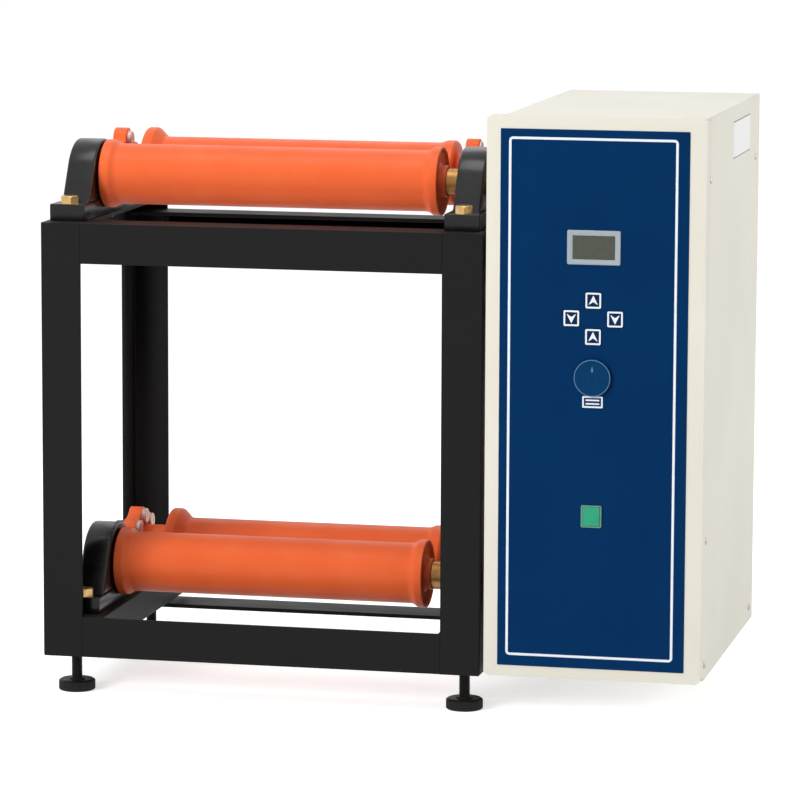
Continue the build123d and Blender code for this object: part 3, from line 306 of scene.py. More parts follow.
def eased(points, radii, steps=6):
    """A closed outline with round corners. Each is the circular arc (a^2 P + 2 w a b C + b^2 Q) / (a^2 +
    2 w a b + b^2), with a = 1 - b, C the corner, P and Q where the arc leaves its sides, and w the cosine of
    half the turn."""
    points = np.asarray(points, float)
    back, on = np.roll(points, 1, 0) - points, np.roll(points, -1, 0) - points
    back_length, on_length = np.linalg.norm(back, axis=1), np.linalg.norm(on, axis=1)
    back, on = back / back_length[:, None], on / on_length[:, None]
    half_turn = np.arccos(np.clip(-(back * on).sum(1), -1, 1)) / 2
    reach = np.broadcast_to(np.asarray(radii, float), len(points)) * np.tan(half_turn)
    reach = np.minimum(reach, SIDE_SHARE * np.minimum(back_length, on_length))[:, None, None]
    b = np.linspace(0, 1, steps)[None, :, None]
    a, w = 1 - b, np.cos(half_turn)[:, None, None]
    corner = points[:, None]
    leave, meet = corner + back[:, None] * reach, corner + on[:, None] * reach
    curve = a**2 * leave + 2 * w * a * b * corner + b**2 * meet
    return (curve / (a**2 + 2 * w * a * b + b**2)).reshape(-1, 2)


def rectangle(centre, width, height, radius):
    """A rectangle with round corners."""
    return eased(np.asarray(centre) + CORNER_SIGNS * (width / 2, height / 2), radius)


def skin(rings, joined=False):
    """A surface through rings of points, (rings, points, 3). Its ends are joined, or closed by caps."""
    rows, count, _ = rings.shape
    i, j = np.meshgrid(np.arange(rows if joined else rows - 1), np.arange(count), indexing="ij")
    below, above, beside = i * count, (i + 1) % rows * count, (j + 1) % count
    quads = np.stack([below + j, below + beside, above + beside, above + j], -1).reshape(-1, 4).tolist()
    caps = [] if joined else [list(range(count))[::-1], list(range((rows - 1) * count, rows * count))]
    return rings.reshape(-1, 3), quads + caps


def placed(across, along, axis):
    """Points across an axis, (..., 2), set at their places along it: X takes (Y, Z), Y (X, Z), Z (X, Y)."""
    first, second = {0: (1, 2), 1: (0, 2), 2: (0, 1)}[axis]
    made = np.empty((*across.shape[:-1], 3))
    made[..., first], made[..., second] = across[..., 0], across[..., 1]
    made[..., axis] = along
    return made


def sleeve(low, high, inner, outer):
    """The profile of a round rod or ring."""
    return [(low, inner), (low, outer), (high, outer), (high, inner)]


def turned(profile, centre, axis, count=96):
    """A profile of (place, radius) points carried round an axis: centre + radius (cos t, sin t)."""
    along, radius = np.asarray(profile, float).T
    across = np.asarray(centre) + radius[:, None, None] * rays(full_turn(count))
    return skin(placed(across, along[:, None], axis), joined=True)


def drawn_in(outline, depth):
    """The outline moved inwards along the normals of its neighbours' chord."""
    chord = np.roll(outline, -1, 0) - np.roll(outline, 1, 0)
    area = (outline[:, 0] * np.roll(outline[:, 1], -1) - np.roll(outline[:, 0], -1) * outline[:, 1]).sum()
    normal = np.stack([chord[:, 1], -chord[:, 0]], 1) * np.sign(area)
    return outline - depth * normal / np.linalg.norm(normal, axis=1, keepdims=True)


def plate(outline, low, high, edge, axis, hole=None, dome=0.0):
    """An outline carried from low to high with quarter-round edges: at angle a it is drawn in by
    edge (1 - sin a) and stands edge (1 - cos a) from its end. A hole is (centre, radius). A dome rises as
    dome (1 - s^2) over the outline scaled by s. Where high is the lesser, it faces the other way."""
    a = np.linspace(0, np.pi / 2, 5)
    inset, rise = edge * (1 - np.sin(a)), math.copysign(edge, high - low) * (1 - np.cos(a))
    across = [drawn_in(outline, d) for d in inset] + [drawn_in(outline, d) for d in inset[::-1]]
    along = [*(low + rise), *(high - rise[::-1])]
    if hole:
        centre, radius = np.asarray(hole[0], float), hole[1]
        spoke = outline - centre
        circle = centre + radius * spoke / np.linalg.norm(spoke, axis=1, keepdims=True)
        across, along = [circle, *across, circle], [low, *along, high]
    if dome:
        middle, brim = outline.mean(0), across[-1]
        for share in DOME_SHARES:
            across.append(middle + share * (brim - middle))
            along.append(high + dome * (1 - share**2))
    return skin(placed(np.array(across), np.array(along)[:, None], axis), joined=bool(hole))


def band(outer, inner, low, high, axis):
    """A closed band between two outlines of as many points, with a row half way across its upper face."""
    across = np.array([outer, outer, (outer + inner) / 2, inner, inner])
    along = np.array([low, high, high, high, low])
    return skin(placed(across, along[:, None], axis), joined=True)


def hexagonal(centre, low, high, flats, bore=0.0, chamfer_at="high", turned_by=0.0):
    """A hexagonal head or nut: its radius is flats / 2 over the cosine of the angle from the nearest flat. A
    cone cuts its corners at one end, lower by the chamfer's slope times how far they stand out. turned_by
    moves its front corner to the right, in degrees."""
    t = full_turn(HEXAGON_POINTS)
    radius = flats / 2 / np.cos((t + np.pi / 6) % (np.pi / 3) - np.pi / 6)
    ray = rays(t + math.radians(turned_by))
    base, tip = (low, high) if chamfer_at == "high" else (high, low)
    cut = CHAMFER_SLOPE * (radius - flats / 2) + CHAMFER_LAND
    level = np.ones(HEXAGON_POINTS)
    across = [ray * radius[:, None], ray * radius[:, None], ray * (flats * END_FACE_SHARE)]
    along = [base * level, tip - math.copysign(1, tip - base) * cut, tip * level]
    if bore:
        across, along = [ray * bore / 2, *across, ray * bore / 2], [base * level, *along, tip * level]
    return skin(placed(np.asarray(centre) + np.array(across), np.array(along), 2), joined=bool(bore))


def threaded(centre, low, high, diameter, pitch):
    """A screw thread: diameter / 2 - depth (1 - |2 f - 1|), f the fraction of a turn at height and angle."""
    z = np.arange(low, high, pitch / 5)
    t = full_turn(40)
    turn = (z[:, None] / pitch - t[None, :] / (2 * np.pi)) % 1
    radius = diameter / 2 - THREAD_DEPTH * pitch * (1 - np.abs(2 * turn - 1))
    across = np.asarray(centre) + radius[..., None] * rays(t)
    return skin(placed(across, z[:, None], 2))


def bead(start, end, radius):
    """A weld bead: a tube of radius (1 + swelling |sin(pi d / ripple)|) at a distance d from its start,
    shrinking as the sine of the distance to either end."""
    start, end = np.asarray(start, float), np.asarray(end, float)
    length = np.linalg.norm(end - start)
    s = np.linspace(0, 1, max(8, int(length / BEAD_RIPPLE * 5)))
    swell = radius * (1 + BEAD_SWELLING * np.abs(np.sin(np.pi * s * length / BEAD_RIPPLE)))
    for from_end in (s, 1 - s):
        swell *= np.clip(np.sin(np.pi * np.clip(from_end * length / (2 * radius), 0, 0.5)), 0.15, 1)
    way = (end - start) / length
    side = np.cross(way, (0.31, 0.52, 0.79))
    side /= np.linalg.norm(side)
    t = full_turn(12)[None, :, None]
    ring = np.cos(t) * side + np.sin(t) * np.cross(way, side)
    return skin(start + s[:, None, None] * (end - start) + swell[:, None, None] * ring)


def piece(name, body, parts, finish, stands_for=(), smooth=SMOOTH_ANGLE):
    """One object from (points, faces) parts. Faces point outwards and are smooth up to an angle."""
    starts = np.cumsum([0] + [len(points) for points, _ in parts])
    mesh = bpy.data.meshes.new(name)
    mesh.from_pydata(
        np.concatenate([points for points, _ in parts]) * MM,
        [],
        [[i + start for i in face] for start, (_, faces) in zip(starts.tolist(), parts) for face in faces],
    )
    outwards = bmesh.new()
    outwards.from_mesh(mesh)
    bmesh.ops.recalc_face_normals(outwards, faces=outwards.faces)
    outwards.to_mesh(mesh)
    outwards.free()
    shown(name, body, mesh, finish, stands_for, smooth)


def shown(name, body, mesh, finish, stands_for, smooth):
    """Puts a mesh in the scene on a CAD body, in the place of the nodes that it stands for."""
    mesh.shade_smooth()
    mesh.set_sharp_from_angle(angle=math.radians(smooth))
    mesh.materials.clear()
    mesh.materials.append(finish)
    made = in_scene(name, mesh)
    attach(made, body)
    if stands_for:
        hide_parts(*stands_for)
    return made


def softened(node, name, width, chosen, finish):
    """A CAD node's own shape, on the machine, with its chosen sharp edges rounded. chosen(middle, way) gives
    the share of the width from an edge's middle in millimetres and its direction."""
    work = bmesh.new()
    work.from_mesh(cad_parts[node].data)
    bmesh.ops.remove_doubles(work, verts=work.verts, dist=MERGE_DISTANCE)
    bmesh.ops.dissolve_limit(work, angle_limit=math.radians(FLAT_ANGLE), verts=work.verts, edges=work.edges)
    bmesh.ops.connect_verts_concave(work, faces=[face for face in work.faces if len(face.verts) > 4])
    weight = work.edges.layers.float.new("bevel_weight_edge")
    for edge in work.edges:
        ends = np.array([v.co for v in edge.verts]) / MM
        way = (ends[1] - ends[0]) / max(np.linalg.norm(ends[1] - ends[0]), 1e-9)
        sharp = len(edge.link_faces) == 2 and edge.calc_face_angle(0) > math.radians(EDGE_ANGLE)
        edge[weight] = float(chosen(ends.mean(0), np.abs(way))) if sharp else 0.0
    mesh = bpy.data.meshes.new(name)
    work.to_mesh(mesh)
    work.free()
    made = shown(name, "machine", mesh, finish, (node,), SMOOTH_ANGLE)
    rounding = made.modifiers.new("rounded_edges", "BEVEL")
    rounding.limit_method = "WEIGHT"
    rounding.width, rounding.segments = width * MM, 3
    rounding.harden_normals = True


def dressed(finish, *nodes):
    """Gives CAD nodes whose shape stays a finish."""
    for node in nodes:
        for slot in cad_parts[node].material_slots:
            slot.material = finish


# ---- Welded frame ----

# An edge runs along an axis if the share of its direction is above the first, and lies at a place if it is
# nearer than the second, in millimetres
ALONG, NEAR = 0.99, 0.1


def lengthways(axis):
    """Chooses the edges that run along an axis."""
    return lambda middle, way: way[axis] > ALONG


def ground_corner(middle, way):
    """Chooses a post's long edges at a share of 0.36 and its outer bottom corner in full."""
    outer = min(abs(middle[0] - frame_left), abs(middle[0] - frame_right)) < NEAR
    bottom = abs(middle[2] - frame_bottom) < NEAR
    return 1.0 if outer and bottom and way[1] > ALONG else 0.36 * (way[2] > ALONG)


# The frame's angles and bar, how wide their rounded edges are, and which edges those are
rolled_steel = (
    (("front_posts", "rear_posts"), 2.5, ground_corner),
    (("top_front_rail", "bottom_front_rail", "top_rear_rail", "bottom_rear_bar"), 0.9, lengthways(0)),
    (("top_side_rails", "bottom_side_rails", "lower_shelves"), 0.9, lengthways(1)),
)
for nodes, width, chosen in rolled_steel:
    for node in nodes:
        softened(node, f"{node}_rolled", width, chosen, black_powder)

# Welds end this far from the edge of a leg and from a wall
weld_radius, edge_gap, wall_gap = 2.2, 3.0, 2.0
wall_front, wall_back = frame_front + angle_wall, frame_back - angle_wall
rear_rail_top = corners("top_rear_rail")[1][2]
upright_welds = (
    (wall_front, frame_top - angle_leg + edge_gap, frame_top - angle_wall - wall_gap),
    (wall_front, frame_bottom + angle_wall + wall_gap, frame_bottom + angle_leg - edge_gap),
    (wall_back, rear_rail_top - angle_leg + edge_gap, rear_rail_top - angle_wall - wall_gap),
)
level_welds = (
    (wall_front + edge_gap, frame_front + angle_leg),
    (frame_back - angle_leg, wall_back - edge_gap),
)
welds = [
    bead((x, y, z_low), (x, y, z_high), weld_radius)
    for x in (frame_left + angle_leg, frame_right - angle_leg)
    for y, z_low, z_high in upright_welds
]
welds += [
    bead((x, y_low, z), (x, y_high, z), weld_radius)
    for x in (frame_left + angle_wall, frame_right - angle_wall)
    for y_low, y_high in level_welds
    for z in (shelf_top - angle_wall, frame_bottom + angle_wall)
]
piece("frame_weld_beads", "machine", welds, black_powder)

# ---- Levelling feet: a disc with fine ribs round it and a threaded stud ----

foot_radius, foot_height, stud_top, stud_diameter, stud_pitch = 18.3, 11.0, 52.0, 11.0, 1.75
rib_count, rib_depth, ribs_from = 48, 0.22, 18.0
foot_corners = ("front_left", "front_right", "rear_left", "rear_right")
foot_profile = eased(
    [
        (0, 1.0), (0, 17.0), (1.2, foot_radius), (foot_height - 1.4, foot_radius),
        (foot_height, 16.2), (foot_height, 1.0),
    ],
    [0.3, 0.6, 0.8, 1.0, 1.0, 0.3],
)
boss_profile = eased(np.array([(-0.5, 1), (-0.5, 8.6), (1.2, 7.8), (1.2, 1)]) + (foot_height, 0), 0.4)


def foot_centre(corner):
    """Where a foot's axis stands."""
    low, high = corners(f"levelling_foot_{corner}")
    return (low + high)[:2] / 2


for corner in foot_corners:
    node, centre = f"levelling_foot_{corner}", foot_centre(corner)
    points, faces = turned(foot_profile, centre, 2, 192)
    arm = points[:, :2] - centre
    reach = np.linalg.norm(arm, axis=1, keepdims=True)
    ribs = rib_depth * (np.cos(rib_count * np.arctan2(arm[:, 1:], arm[:, :1])) - 1)
    points[:, :2] += arm / reach * ribs * (reach > ribs_from)
    stud = threaded(centre, foot_height - 0.5, stud_top, stud_diameter, stud_pitch)
    boss = turned(boss_profile, centre, 2, 48)
    piece(f"{node}_turned", f"foot_{corner}", [(points, faces), stud, boss], black_nylon, (node,))

# ---- Bearing blocks ----

block_foot_width, block_foot_height, front_reach, back_reach = 35.5, 16.5, 79.0, 60.0
# The pedestal stands this far inside the foot's inner end, and its base sinks into the foot
pedestal_width, pedestal_insets, pedestal_sink = 28.0, {"left": 1.0, "right": 4.0}, 0.5
pedestal_base_half, crown_radius, crown_drops = 59.5, 44.2, {"upper": 9.5, "lower": 4.8}
rear_block_width, rear_block_insets = 13.0, {"left": 2.5, "right": 7.0}
rear_base_half, rear_crown_radius = 33.0, 24.5
bearing_radius, bearing_half, shaft_radius = 26.0, 10.0, 12.5
rear_bearing_radius, rear_bearing_half, rear_shaft_radius = 21.0, 6.0, 10.0
bearing_gap, seal_depth, ring_share = 0.05, 0.8, 0.26
bolt_from_front, bolt_flats, rear_bolt_flats, head_height = 9.5, 16.5, 12.9, 8.0
shank_radius, shank_below, shank_above = 4.5, 14.0, 1.0
nut_flats, nut_height, foot_nut_bore, block_nut_bore = 17.0, 9.0, 11.1, 9.1
# How far each head's front corner points to the right, in degrees
head_turns = {("upper", "left"): 24, ("upper", "right"): 12, ("lower", "left"): 8, ("lower", "right"): 19}


def crowned(base_half, base_rise, crown_rise, radius, centre):
    """A crown arc with tangent straight sides down to a base: the side leaves the arc where the radius is
    square to the line from the base's corner."""
    drop = crown_rise - base_rise
    touch = math.acos(radius / math.hypot(base_half, drop)) - math.atan2(drop, base_half)
    turn = np.linspace(touch, np.pi - touch, 49)
    arc = rays(turn) * radius + (0, crown_rise)
    side = np.linspace(0, 1, 9)[1:-1, None]
    corner_right, corner_left = np.array([(base_half, base_rise), (-base_half, base_rise)])
    right = corner_right + side * (arc[0] - corner_right)
    left = arc[-1] + side * (corner_left - arc[-1])
    base = corner_left + np.linspace(0, 1, 13)[:, None] * (corner_right - corner_left)
    return np.concatenate([base, right, arc, left]) + centre


def ring_bearing(middle, half, outer, inner, centre):
    """A ball bearing: two rings with a seal set back between them."""
    bore = inner + bearing_gap
    low, high, land = middle - half, middle + half, (outer - bore) * ring_share
    seal_low, seal_high = low + seal_depth, high - seal_depth
    profile = [
        (low, bore), (low, bore + land), (seal_low, bore + land), (seal_low, outer - land),
        (low, outer - land), (low, outer), (high, outer), (high, outer - land),
        (seal_high, outer - land), (seal_high, bore + land), (high, bore + land), (high, bore),
    ]
    return turned(eased(profile, 0.25, 3), centre, 0)


pedestal_edge, foot_corner, foot_edge, rear_block_edge = 2.4, 1.2, 1.0, 1.6
foot_nut_low = frame_bottom + angle_wall
nuts = [
    hexagonal(foot_centre(corner), foot_nut_low, foot_nut_low + nut_height, nut_flats, foot_nut_bore)
    for corner in foot_corners
]
front_rings, rear_rings, rear_blocks, bolt_parts = [], [], [], []
for tier, base, front_centre, rear_centre in tiers:
    foot_top, flange_below = base + block_foot_height, base - angle_wall
    for side in ("left", "right"):
        node = f"{tier}_{side}_bearing_block"
        low, high = corners(node)
        foot_middle, inset = (low[0] + high[0]) / 2, pedestal_insets[side]
        pedestal_low = high[0] - inset - pedestal_width if side == "left" else low[0] + inset
        pedestal_high = pedestal_low + pedestal_width
        base_rise, crown_rise = block_foot_height - pedestal_sink, axis_height - crown_drops[tier]
        outline = crowned(pedestal_base_half, base_rise, crown_rise, crown_radius, (front_axis, base))
        hole = (front_centre, bearing_radius)
        upright = plate(outline, pedestal_low, pedestal_high, pedestal_edge, 0, hole=hole)
        foot_at = (foot_middle, front_axis + (back_reach - front_reach) / 2)
        foot_outline = rectangle(foot_at, block_foot_width, front_reach + back_reach, foot_corner)
        foot = plate(foot_outline, base, foot_top, foot_edge, 2)
        piece(f"{node}_cast", "machine", [upright, foot], casting_enamel, (node,))
        middle = (pedestal_low + pedestal_high) / 2
        front_rings.append(ring_bearing(middle, bearing_half, bearing_radius, shaft_radius, front_centre))

        rear_low = low[0] + rear_block_insets[side]
        rear_high = rear_low + rear_block_width
        outline = crowned(rear_base_half, 0.0, axis_height, rear_crown_radius, (rear_axis, base))
        hole = (rear_centre, rear_bearing_radius)
        rear_blocks.append(plate(outline, rear_low, rear_high, rear_block_edge, 0, hole=hole))
        middle = (rear_low + rear_high) / 2
        rear_rings.append(
            ring_bearing(middle, rear_bearing_half, rear_bearing_radius, rear_shaft_radius, rear_centre)
        )

        bolt_at = (foot_middle, front_axis - front_reach + bolt_from_front)
        shank_low, shank_high = base - shank_below, foot_top + shank_above
        shank = eased(sleeve(shank_low, shank_high, 0.8, shank_radius), 0.3)
        head_top, head_turn = foot_top + head_height, head_turns[tier, side]
        rear_bolt_at, rear_head_low = (middle, rear_axis), flange_below - head_height
        bolt_parts += [
            hexagonal(bolt_at, foot_top, head_top, bolt_flats, turned_by=head_turn),
            turned(shank, bolt_at, 2, 32),
            hexagonal(rear_bolt_at, rear_head_low, flange_below, rear_bolt_flats, chamfer_at="low"),
        ]
        nut_low = flange_below - nut_height
        nuts.append(hexagonal(bolt_at, nut_low, flange_below, nut_flats, block_nut_bore, "low"))
piece("front_bearing_rings", "machine", front_rings, bearing_steel, ("front_bearings",))
piece("rear_bearing_rings", "machine", rear_rings, bearing_steel, ("rear_bearings",))
piece("rear_bearing_blocks_cast", "machine", rear_blocks, casting_enamel, ("rear_bearing_blocks",))
piece("hexagon_block_bolts", "machine", bolt_parts, yellow_zinc, ("block_bolts",), smooth=HEXAGON_SMOOTH)
piece("hexagon_weld_nuts", "machine", nuts, zinc_plate, ("weld_nuts",), smooth=HEXAGON_SMOOTH)

# ---- Rollers ----

body_radius, rim_radius, hub_radius, hub_length, dish = 30.25, 34.05, 15.6, 5.5, 2.8
collar_radius, collar_length, rear_rim_radius = 39.5, 10.5, 32.65
neck_radii = {"upper": 19.0, "lower": 21.5}
left_necks, right_necks = {"upper": 20.0, "lower": 30.5}, {"upper": 9.0, "lower": 19.3}
flange_thickness, flange_edge = 14.0, 1.2
button_radius, button_base_radius, button_face_radius, seat_radius = 8.0, 7.4, 6.4, 8.5
# How far the buttons stand out of the left and the right flanges
left_proud, right_proud = 4.0, 2.0
# Of the left flanges by tier, and of the right ones: how many lobes, the lobes' radius, their pitch radius,
# the core's radius and the first lobe's angle
flange_lobes = {
    "upper": (5, 11.5, 27.5, 30.0, 95.0),
    "lower": (8, 9.5, 30.5, 35.0, 91.0),
    "right": (6, 10.5, 24.5, 27.0, 90.0),
}


def lobed(count, radius, pitch, core, first):
    """A lobed outline: at an angle d from the nearest lobe the radius is pitch cos d + sqrt(radius^2 - (pitch
    sin d)^2), but at least the core's. A mean over nine neighbours rounds the valleys."""
    t = full_turn(288)
    d = (t - math.radians(first) + np.pi / count) % (2 * np.pi / count) - np.pi / count
    room = np.clip(radius**2 - (pitch * np.sin(d)) ** 2, 0, None)
    reach = np.maximum(np.where(room > 0, pitch * np.cos(d) + np.sqrt(room), core), core)
    reach = sum(np.roll(reach, k) for k in range(-4, 5)) / 9
    return reach[:, None] * rays(t)


def front_roller(start, hub_end):
    """Profile of a driven roller: dished ends, raised rims, and a hub that stands out at the right."""
    end = hub_end - hub_length
    rim_flat, rim_foot, inner_foot = rim_radius - 2.5, rim_radius - 5, hub_radius + 3
    return eased(
        [
            (start, shaft_radius), (start, 20), (start + dish, 23), (start + dish, rim_foot),
            (start, rim_flat), (start, rim_radius), (start + 9, rim_radius), (start + 15, body_radius),
            (end - 13.5, body_radius), (end - 8, rim_radius), (end, rim_radius), (end, rim_flat),
            (end - dish, rim_foot), (end - dish, inner_foot), (end - 1, hub_radius),
            (hub_end, hub_radius), (hub_end, shaft_radius),
        ],
        [0.3, 1.5, 2, 2, 0.6, 1.6, 5, 9, 9, 5, 1.6, 0.6, 2, 2, 2, 1.2, 0.3],
    )


def rear_roller(start, neck_end, collar, end, neck_radius):
    """Profile of an idle roller: a neck at both ends, a collar at the left and a low rim at the right."""
    taper_start = collar + collar_length
    return eased(
        [
            (start, rear_shaft_radius), (start, neck_radius), (collar, neck_radius), (collar, collar_radius),
            (taper_start, collar_radius), (taper_start + collar_radius - body_radius, body_radius),
            (end - 17, body_radius), (end - 11, rear_rim_radius), (end - 2.4, rear_rim_radius),
            (end, body_radius), (end, neck_radius), (neck_end, neck_radius), (neck_end, rear_shaft_radius),
        ],
        [0.3, 0.5, 2.5, 3.2, 4.5, 6, 8, 5, 1.6, 1.2, 2, 0.5, 0.3],
    )


def shaft(node, body, centre, radius, chamfer, finish):
    """A shaft along X with eased ends."""
    low, high = corners(node)
    profile = eased(sleeve(low[0], high[0], 1, radius), [0.3, chamfer, chamfer, 0.3], 4)
    piece(f"{node}_ground", body, [turned(profile, centre, 0)], finish, (node,))


def flange_button(flange_low, flange_high, proud, centre):
    """A round button through a flange and its seat on the flange's face."""
    back, face = flange_low - 0.05, flange_high + proud
    seat_low, seat_high, seat_bore = flange_high - 0.5, flange_high + 0.25, button_radius + 0.02
    button = eased(
        [
            (back, 1), (back, button_base_radius), (flange_high, button_radius), (face - 0.5, button_radius),
            (face, button_face_radius), (face, 1),
        ],
        [0.2, 0.4, 0.4, 0.8, 1, 0.2],
        4,
    )
    seat = sleeve(seat_low, seat_high, seat_bore, seat_radius)
    return turned(button, centre, 0, 40), turned(seat, centre, 0, 40)


for tier, _, front_centre, rear_centre in tiers:
    drive, idle = f"{tier}_drive_roller", f"{tier}_idle_roller"
    node = f"{tier}_front_roller"
    low, high = corners(node)
    roller = turned(front_roller(low[0], high[0]), front_centre, 0, 128)
    piece(f"{node}_turned", drive, [roller], orange_enamel, (node,))
    # The driven shaft's browner finish is painted shade and a painted orange reflection of the rollers
    shaft(f"{tier}_front_shaft", drive, front_centre, shaft_radius, 1.2, dull_yellow_zinc)

    node = f"{tier}_rear_roller"
    (start, *_), (neck_end, *_) = corners(node)
    collar, end = start + left_necks[tier], neck_end - right_necks[tier]
    profile = rear_roller(start, neck_end, collar, end, neck_radii[tier])
    piece(f"{node}_turned", idle, [turned(profile, rear_centre, 0, 128)], orange_enamel, (node,))
    shaft(f"{tier}_rear_shaft", idle, rear_centre, rear_shaft_radius, 1, ground_steel)

    flanges, buttons_in_seats = [], []
    flange_ends = ((tier, start - flange_thickness, left_proud), ("right", neck_end, right_proud))
    for kind, flange_low, proud in flange_ends:
        flange_high = flange_low + flange_thickness
        count, _, pitch, _, first = flange_lobes[kind]
        outline = lobed(*flange_lobes[kind]) + rear_centre
        hole = (rear_centre, rear_shaft_radius)
        flanges.append(plate(outline, flange_low, flange_high, flange_edge, 0, hole=hole))
        centres = rear_centre + pitch * rays(math.radians(first) + full_turn(count))
        buttons_in_seats += [flange_button(flange_low, flange_high, proud, centre) for centre in centres]
    buttons, seats = zip(*buttons_in_seats)
    piece(f"{tier}_lobed_flanges_cut", idle, flanges, orange_enamel, (f"{tier}_lobed_flanges",))
    piece(f"{tier}_flange_buttons_domed", idle, buttons, button_zinc, (f"{tier}_flange_buttons",))
    piece(f"{tier}_flange_button_seats", idle, seats, button_zinc)

# ---- Cabinet ----

panel_middle, panel_half = (panel_low + panel_high) / 2, (panel_high - panel_low) / 2
chassis_low, cover_high = corners("chassis")[0], corners("cover")[1]
panel_edge_width, bend_width, rim_share = 2.2, 1.4, 0.97


def front_rim(middle, way):
    """The front panel's outer edge in its front plane."""
    away = np.abs(middle - panel_middle) / panel_half
    return middle[1] < panel_low[1] + NEAR and max(away[0], away[2]) > rim_share


def top_bend(middle, way):
    """The bend between the cover's top and its side."""
    return way[1] > ALONG and middle[0] > cover_high[0] - NEAR and middle[2] > cover_high[2] - NEAR


def base_bend(middle, way):
    """The bend between the chassis's wall and its base."""
    return way[1] > ALONG and middle[0] < chassis_low[0] + NEAR and middle[2] < chassis_low[2] + NEAR


softened("front_panel", "front_panel_pressed", panel_edge_width, front_rim, cream_powder)
softened("cover", "cover_bent", bend_width, top_bend, cream_powder)
softened("chassis", "chassis_bent", bend_width, base_bend, cream_powder)
dressed(cream_powder, "back_panel")
dressed(blue_film, "panel_overlay")
dressed(zinc_plate, "cabinet_spacers", "cabinet_bolts", "motor_bracket")
dressed(motor_enamel, "gear_motor")
dressed(turned_aluminium, "upper_roller_pulley", "lower_roller_pulley", "motor_pulley", "speed_drive")
dressed(black_rubber, "drive_belts")
dressed(board_mask, "control_board")
dressed(black_nylon, "mains_inlet")
dressed(lcd_glass, "display_module")

screw_radius = 3.6
screw_rings = np.array([0.05, 0.16, 0.26, 0.36, 0.46, 0.56, 0.66, 0.76, 0.86, 0.94, 1.0])[:, None]
# The cross recess in shares of the head's radius: its arms' half width and length, and how softly each ends
recess_half, recess_side, recess_reach, recess_end = 0.17, 0.06, 0.62, 0.1


def side_screw(y, z, x_low, x_high):
    """A pan head with a cross recess: its height is 1 - 0.6 r^2.4, less 0.5 where an arm of it lies."""
    ray = rays(full_turn(64))
    spokes = screw_rings[..., None] * ray
    dip = np.clip((recess_half - np.abs(spokes).min(-1)) / recess_side, 0, 1)
    dip *= np.clip((recess_reach - screw_rings) / recess_end, 0, 1)
    height = x_low + (x_high - x_low) * (1 - 0.6 * screw_rings**2.4 - 0.5 * dip)
    face = placed(spokes * screw_radius + (y, z), height, 0)
    rim = placed((ray * screw_radius + (y, z))[None], np.full((1, len(ray)), x_low - 0.2), 0)
    return skin(np.concatenate([face, rim]))


screw_low, screw_high = corners("cover_screws")
# Heights of the screws near the front and near the back, as shares of the cabinet's
screw_columns = (
    (screw_low[1] + screw_radius, (0.027, 0.25, 0.89)),
    (screw_high[1] - screw_radius, (0.027, 0.885)),
)
screws = [
    side_screw(y, panel_low[2] + share * (panel_high[2] - panel_low[2]), panel_high[0], screw_high[0])
    for y, shares in screw_columns
    for share in shares
]
piece("cover_screw_heads", "machine", screws, zinc_plate, ("cover_screws",))

# White label on the cabinet's side, with its two dark edge lines
side_face = panel_high[0]
label_centre, label_width, label_height = np.array((53.6, 553.2)), 117.0, 36.5
line_rise, line_length, line_height = 17.9, 116.0, 0.8
label = plate(rectangle(label_centre, label_width, label_height, 1.0), side_face, side_face + 0.2, 0.05, 0)
piece("side_label", "machine", [label], white_vinyl)
edge_lines = [
    plate(rectangle(centre, line_length, line_height, 0.2), side_face + 0.15, side_face + 0.26, 0.03, 0)
    for centre in (label_centre - (0, line_rise), label_centre + (0, line_rise))
]
piece("side_label_lines", "machine", edge_lines, dark_ink_and_shadow)

# A dark strip on the cover just behind the front panel's top edge: a painted shadow at the seam
seam_at, seam_length, seam_width, seam_height = (side_face - 15.0, panel_low[1] + 20.3), 21.0, 0.9, 0.6
seam_outline = rectangle(seam_at, seam_length, seam_width, 0.3)
seam = plate(seam_outline, cover_high[2] - seam_height, cover_high[2], 0.05, 2)
piece("seam_seal", "machine", [seam], dark_ink_and_shadow)

# ---- Control panel ----

# Ink lies from just under a face to just over it
ink_lift, ink_sink = 0.06, 0.02


def printed(name, body, parts, face):
    """White ink on a face that looks at the operator: thin closed bands and plates."""
    piece(name, body, [make(face) for make in parts], white_ink)


def ink_band(centre, width, height, radius, line):
    """A printed line round a rectangle."""
    outer = rectangle(centre, width, height, radius)
    inner = rectangle(centre, width - 2 * line, height - 2 * line, max(radius - line, 0.2))
    return lambda face: band(outer, inner, face + ink_sink, face - ink_lift, 1)


def ink_area(outline):
    """A printed area."""
    return lambda face: plate(np.asarray(outline, float), face - ink_lift, face + ink_sink, 0.01, 1)


def front_extent(low, high):
    """The middle and the size of a box as the operator sees them."""
    return ((low + high) / 2)[[0, 2]], (high - low)[[0, 2]]


# The border lies a little off the film's middle
border_offset, border_width, border_height, border_line = (-1.45, 1.25), 164.4, 506.0, 2.4
border_centre = front_extent(overlay_low, overlay_high)[0] + border_offset
border = ink_band(border_centre, border_width, border_height, 4.0, border_line)
printed("overlay_border", "machine", [border], overlay_face)

bezel_low, bezel_high = corners("display_bezel")
bezel_centre, bezel_size = front_extent(bezel_low, bezel_high)
window_size = np.array((42.0, 23.7))
bezel_face, bezel_shoulder = bezel_low[1], bezel_low[1] + 0.5
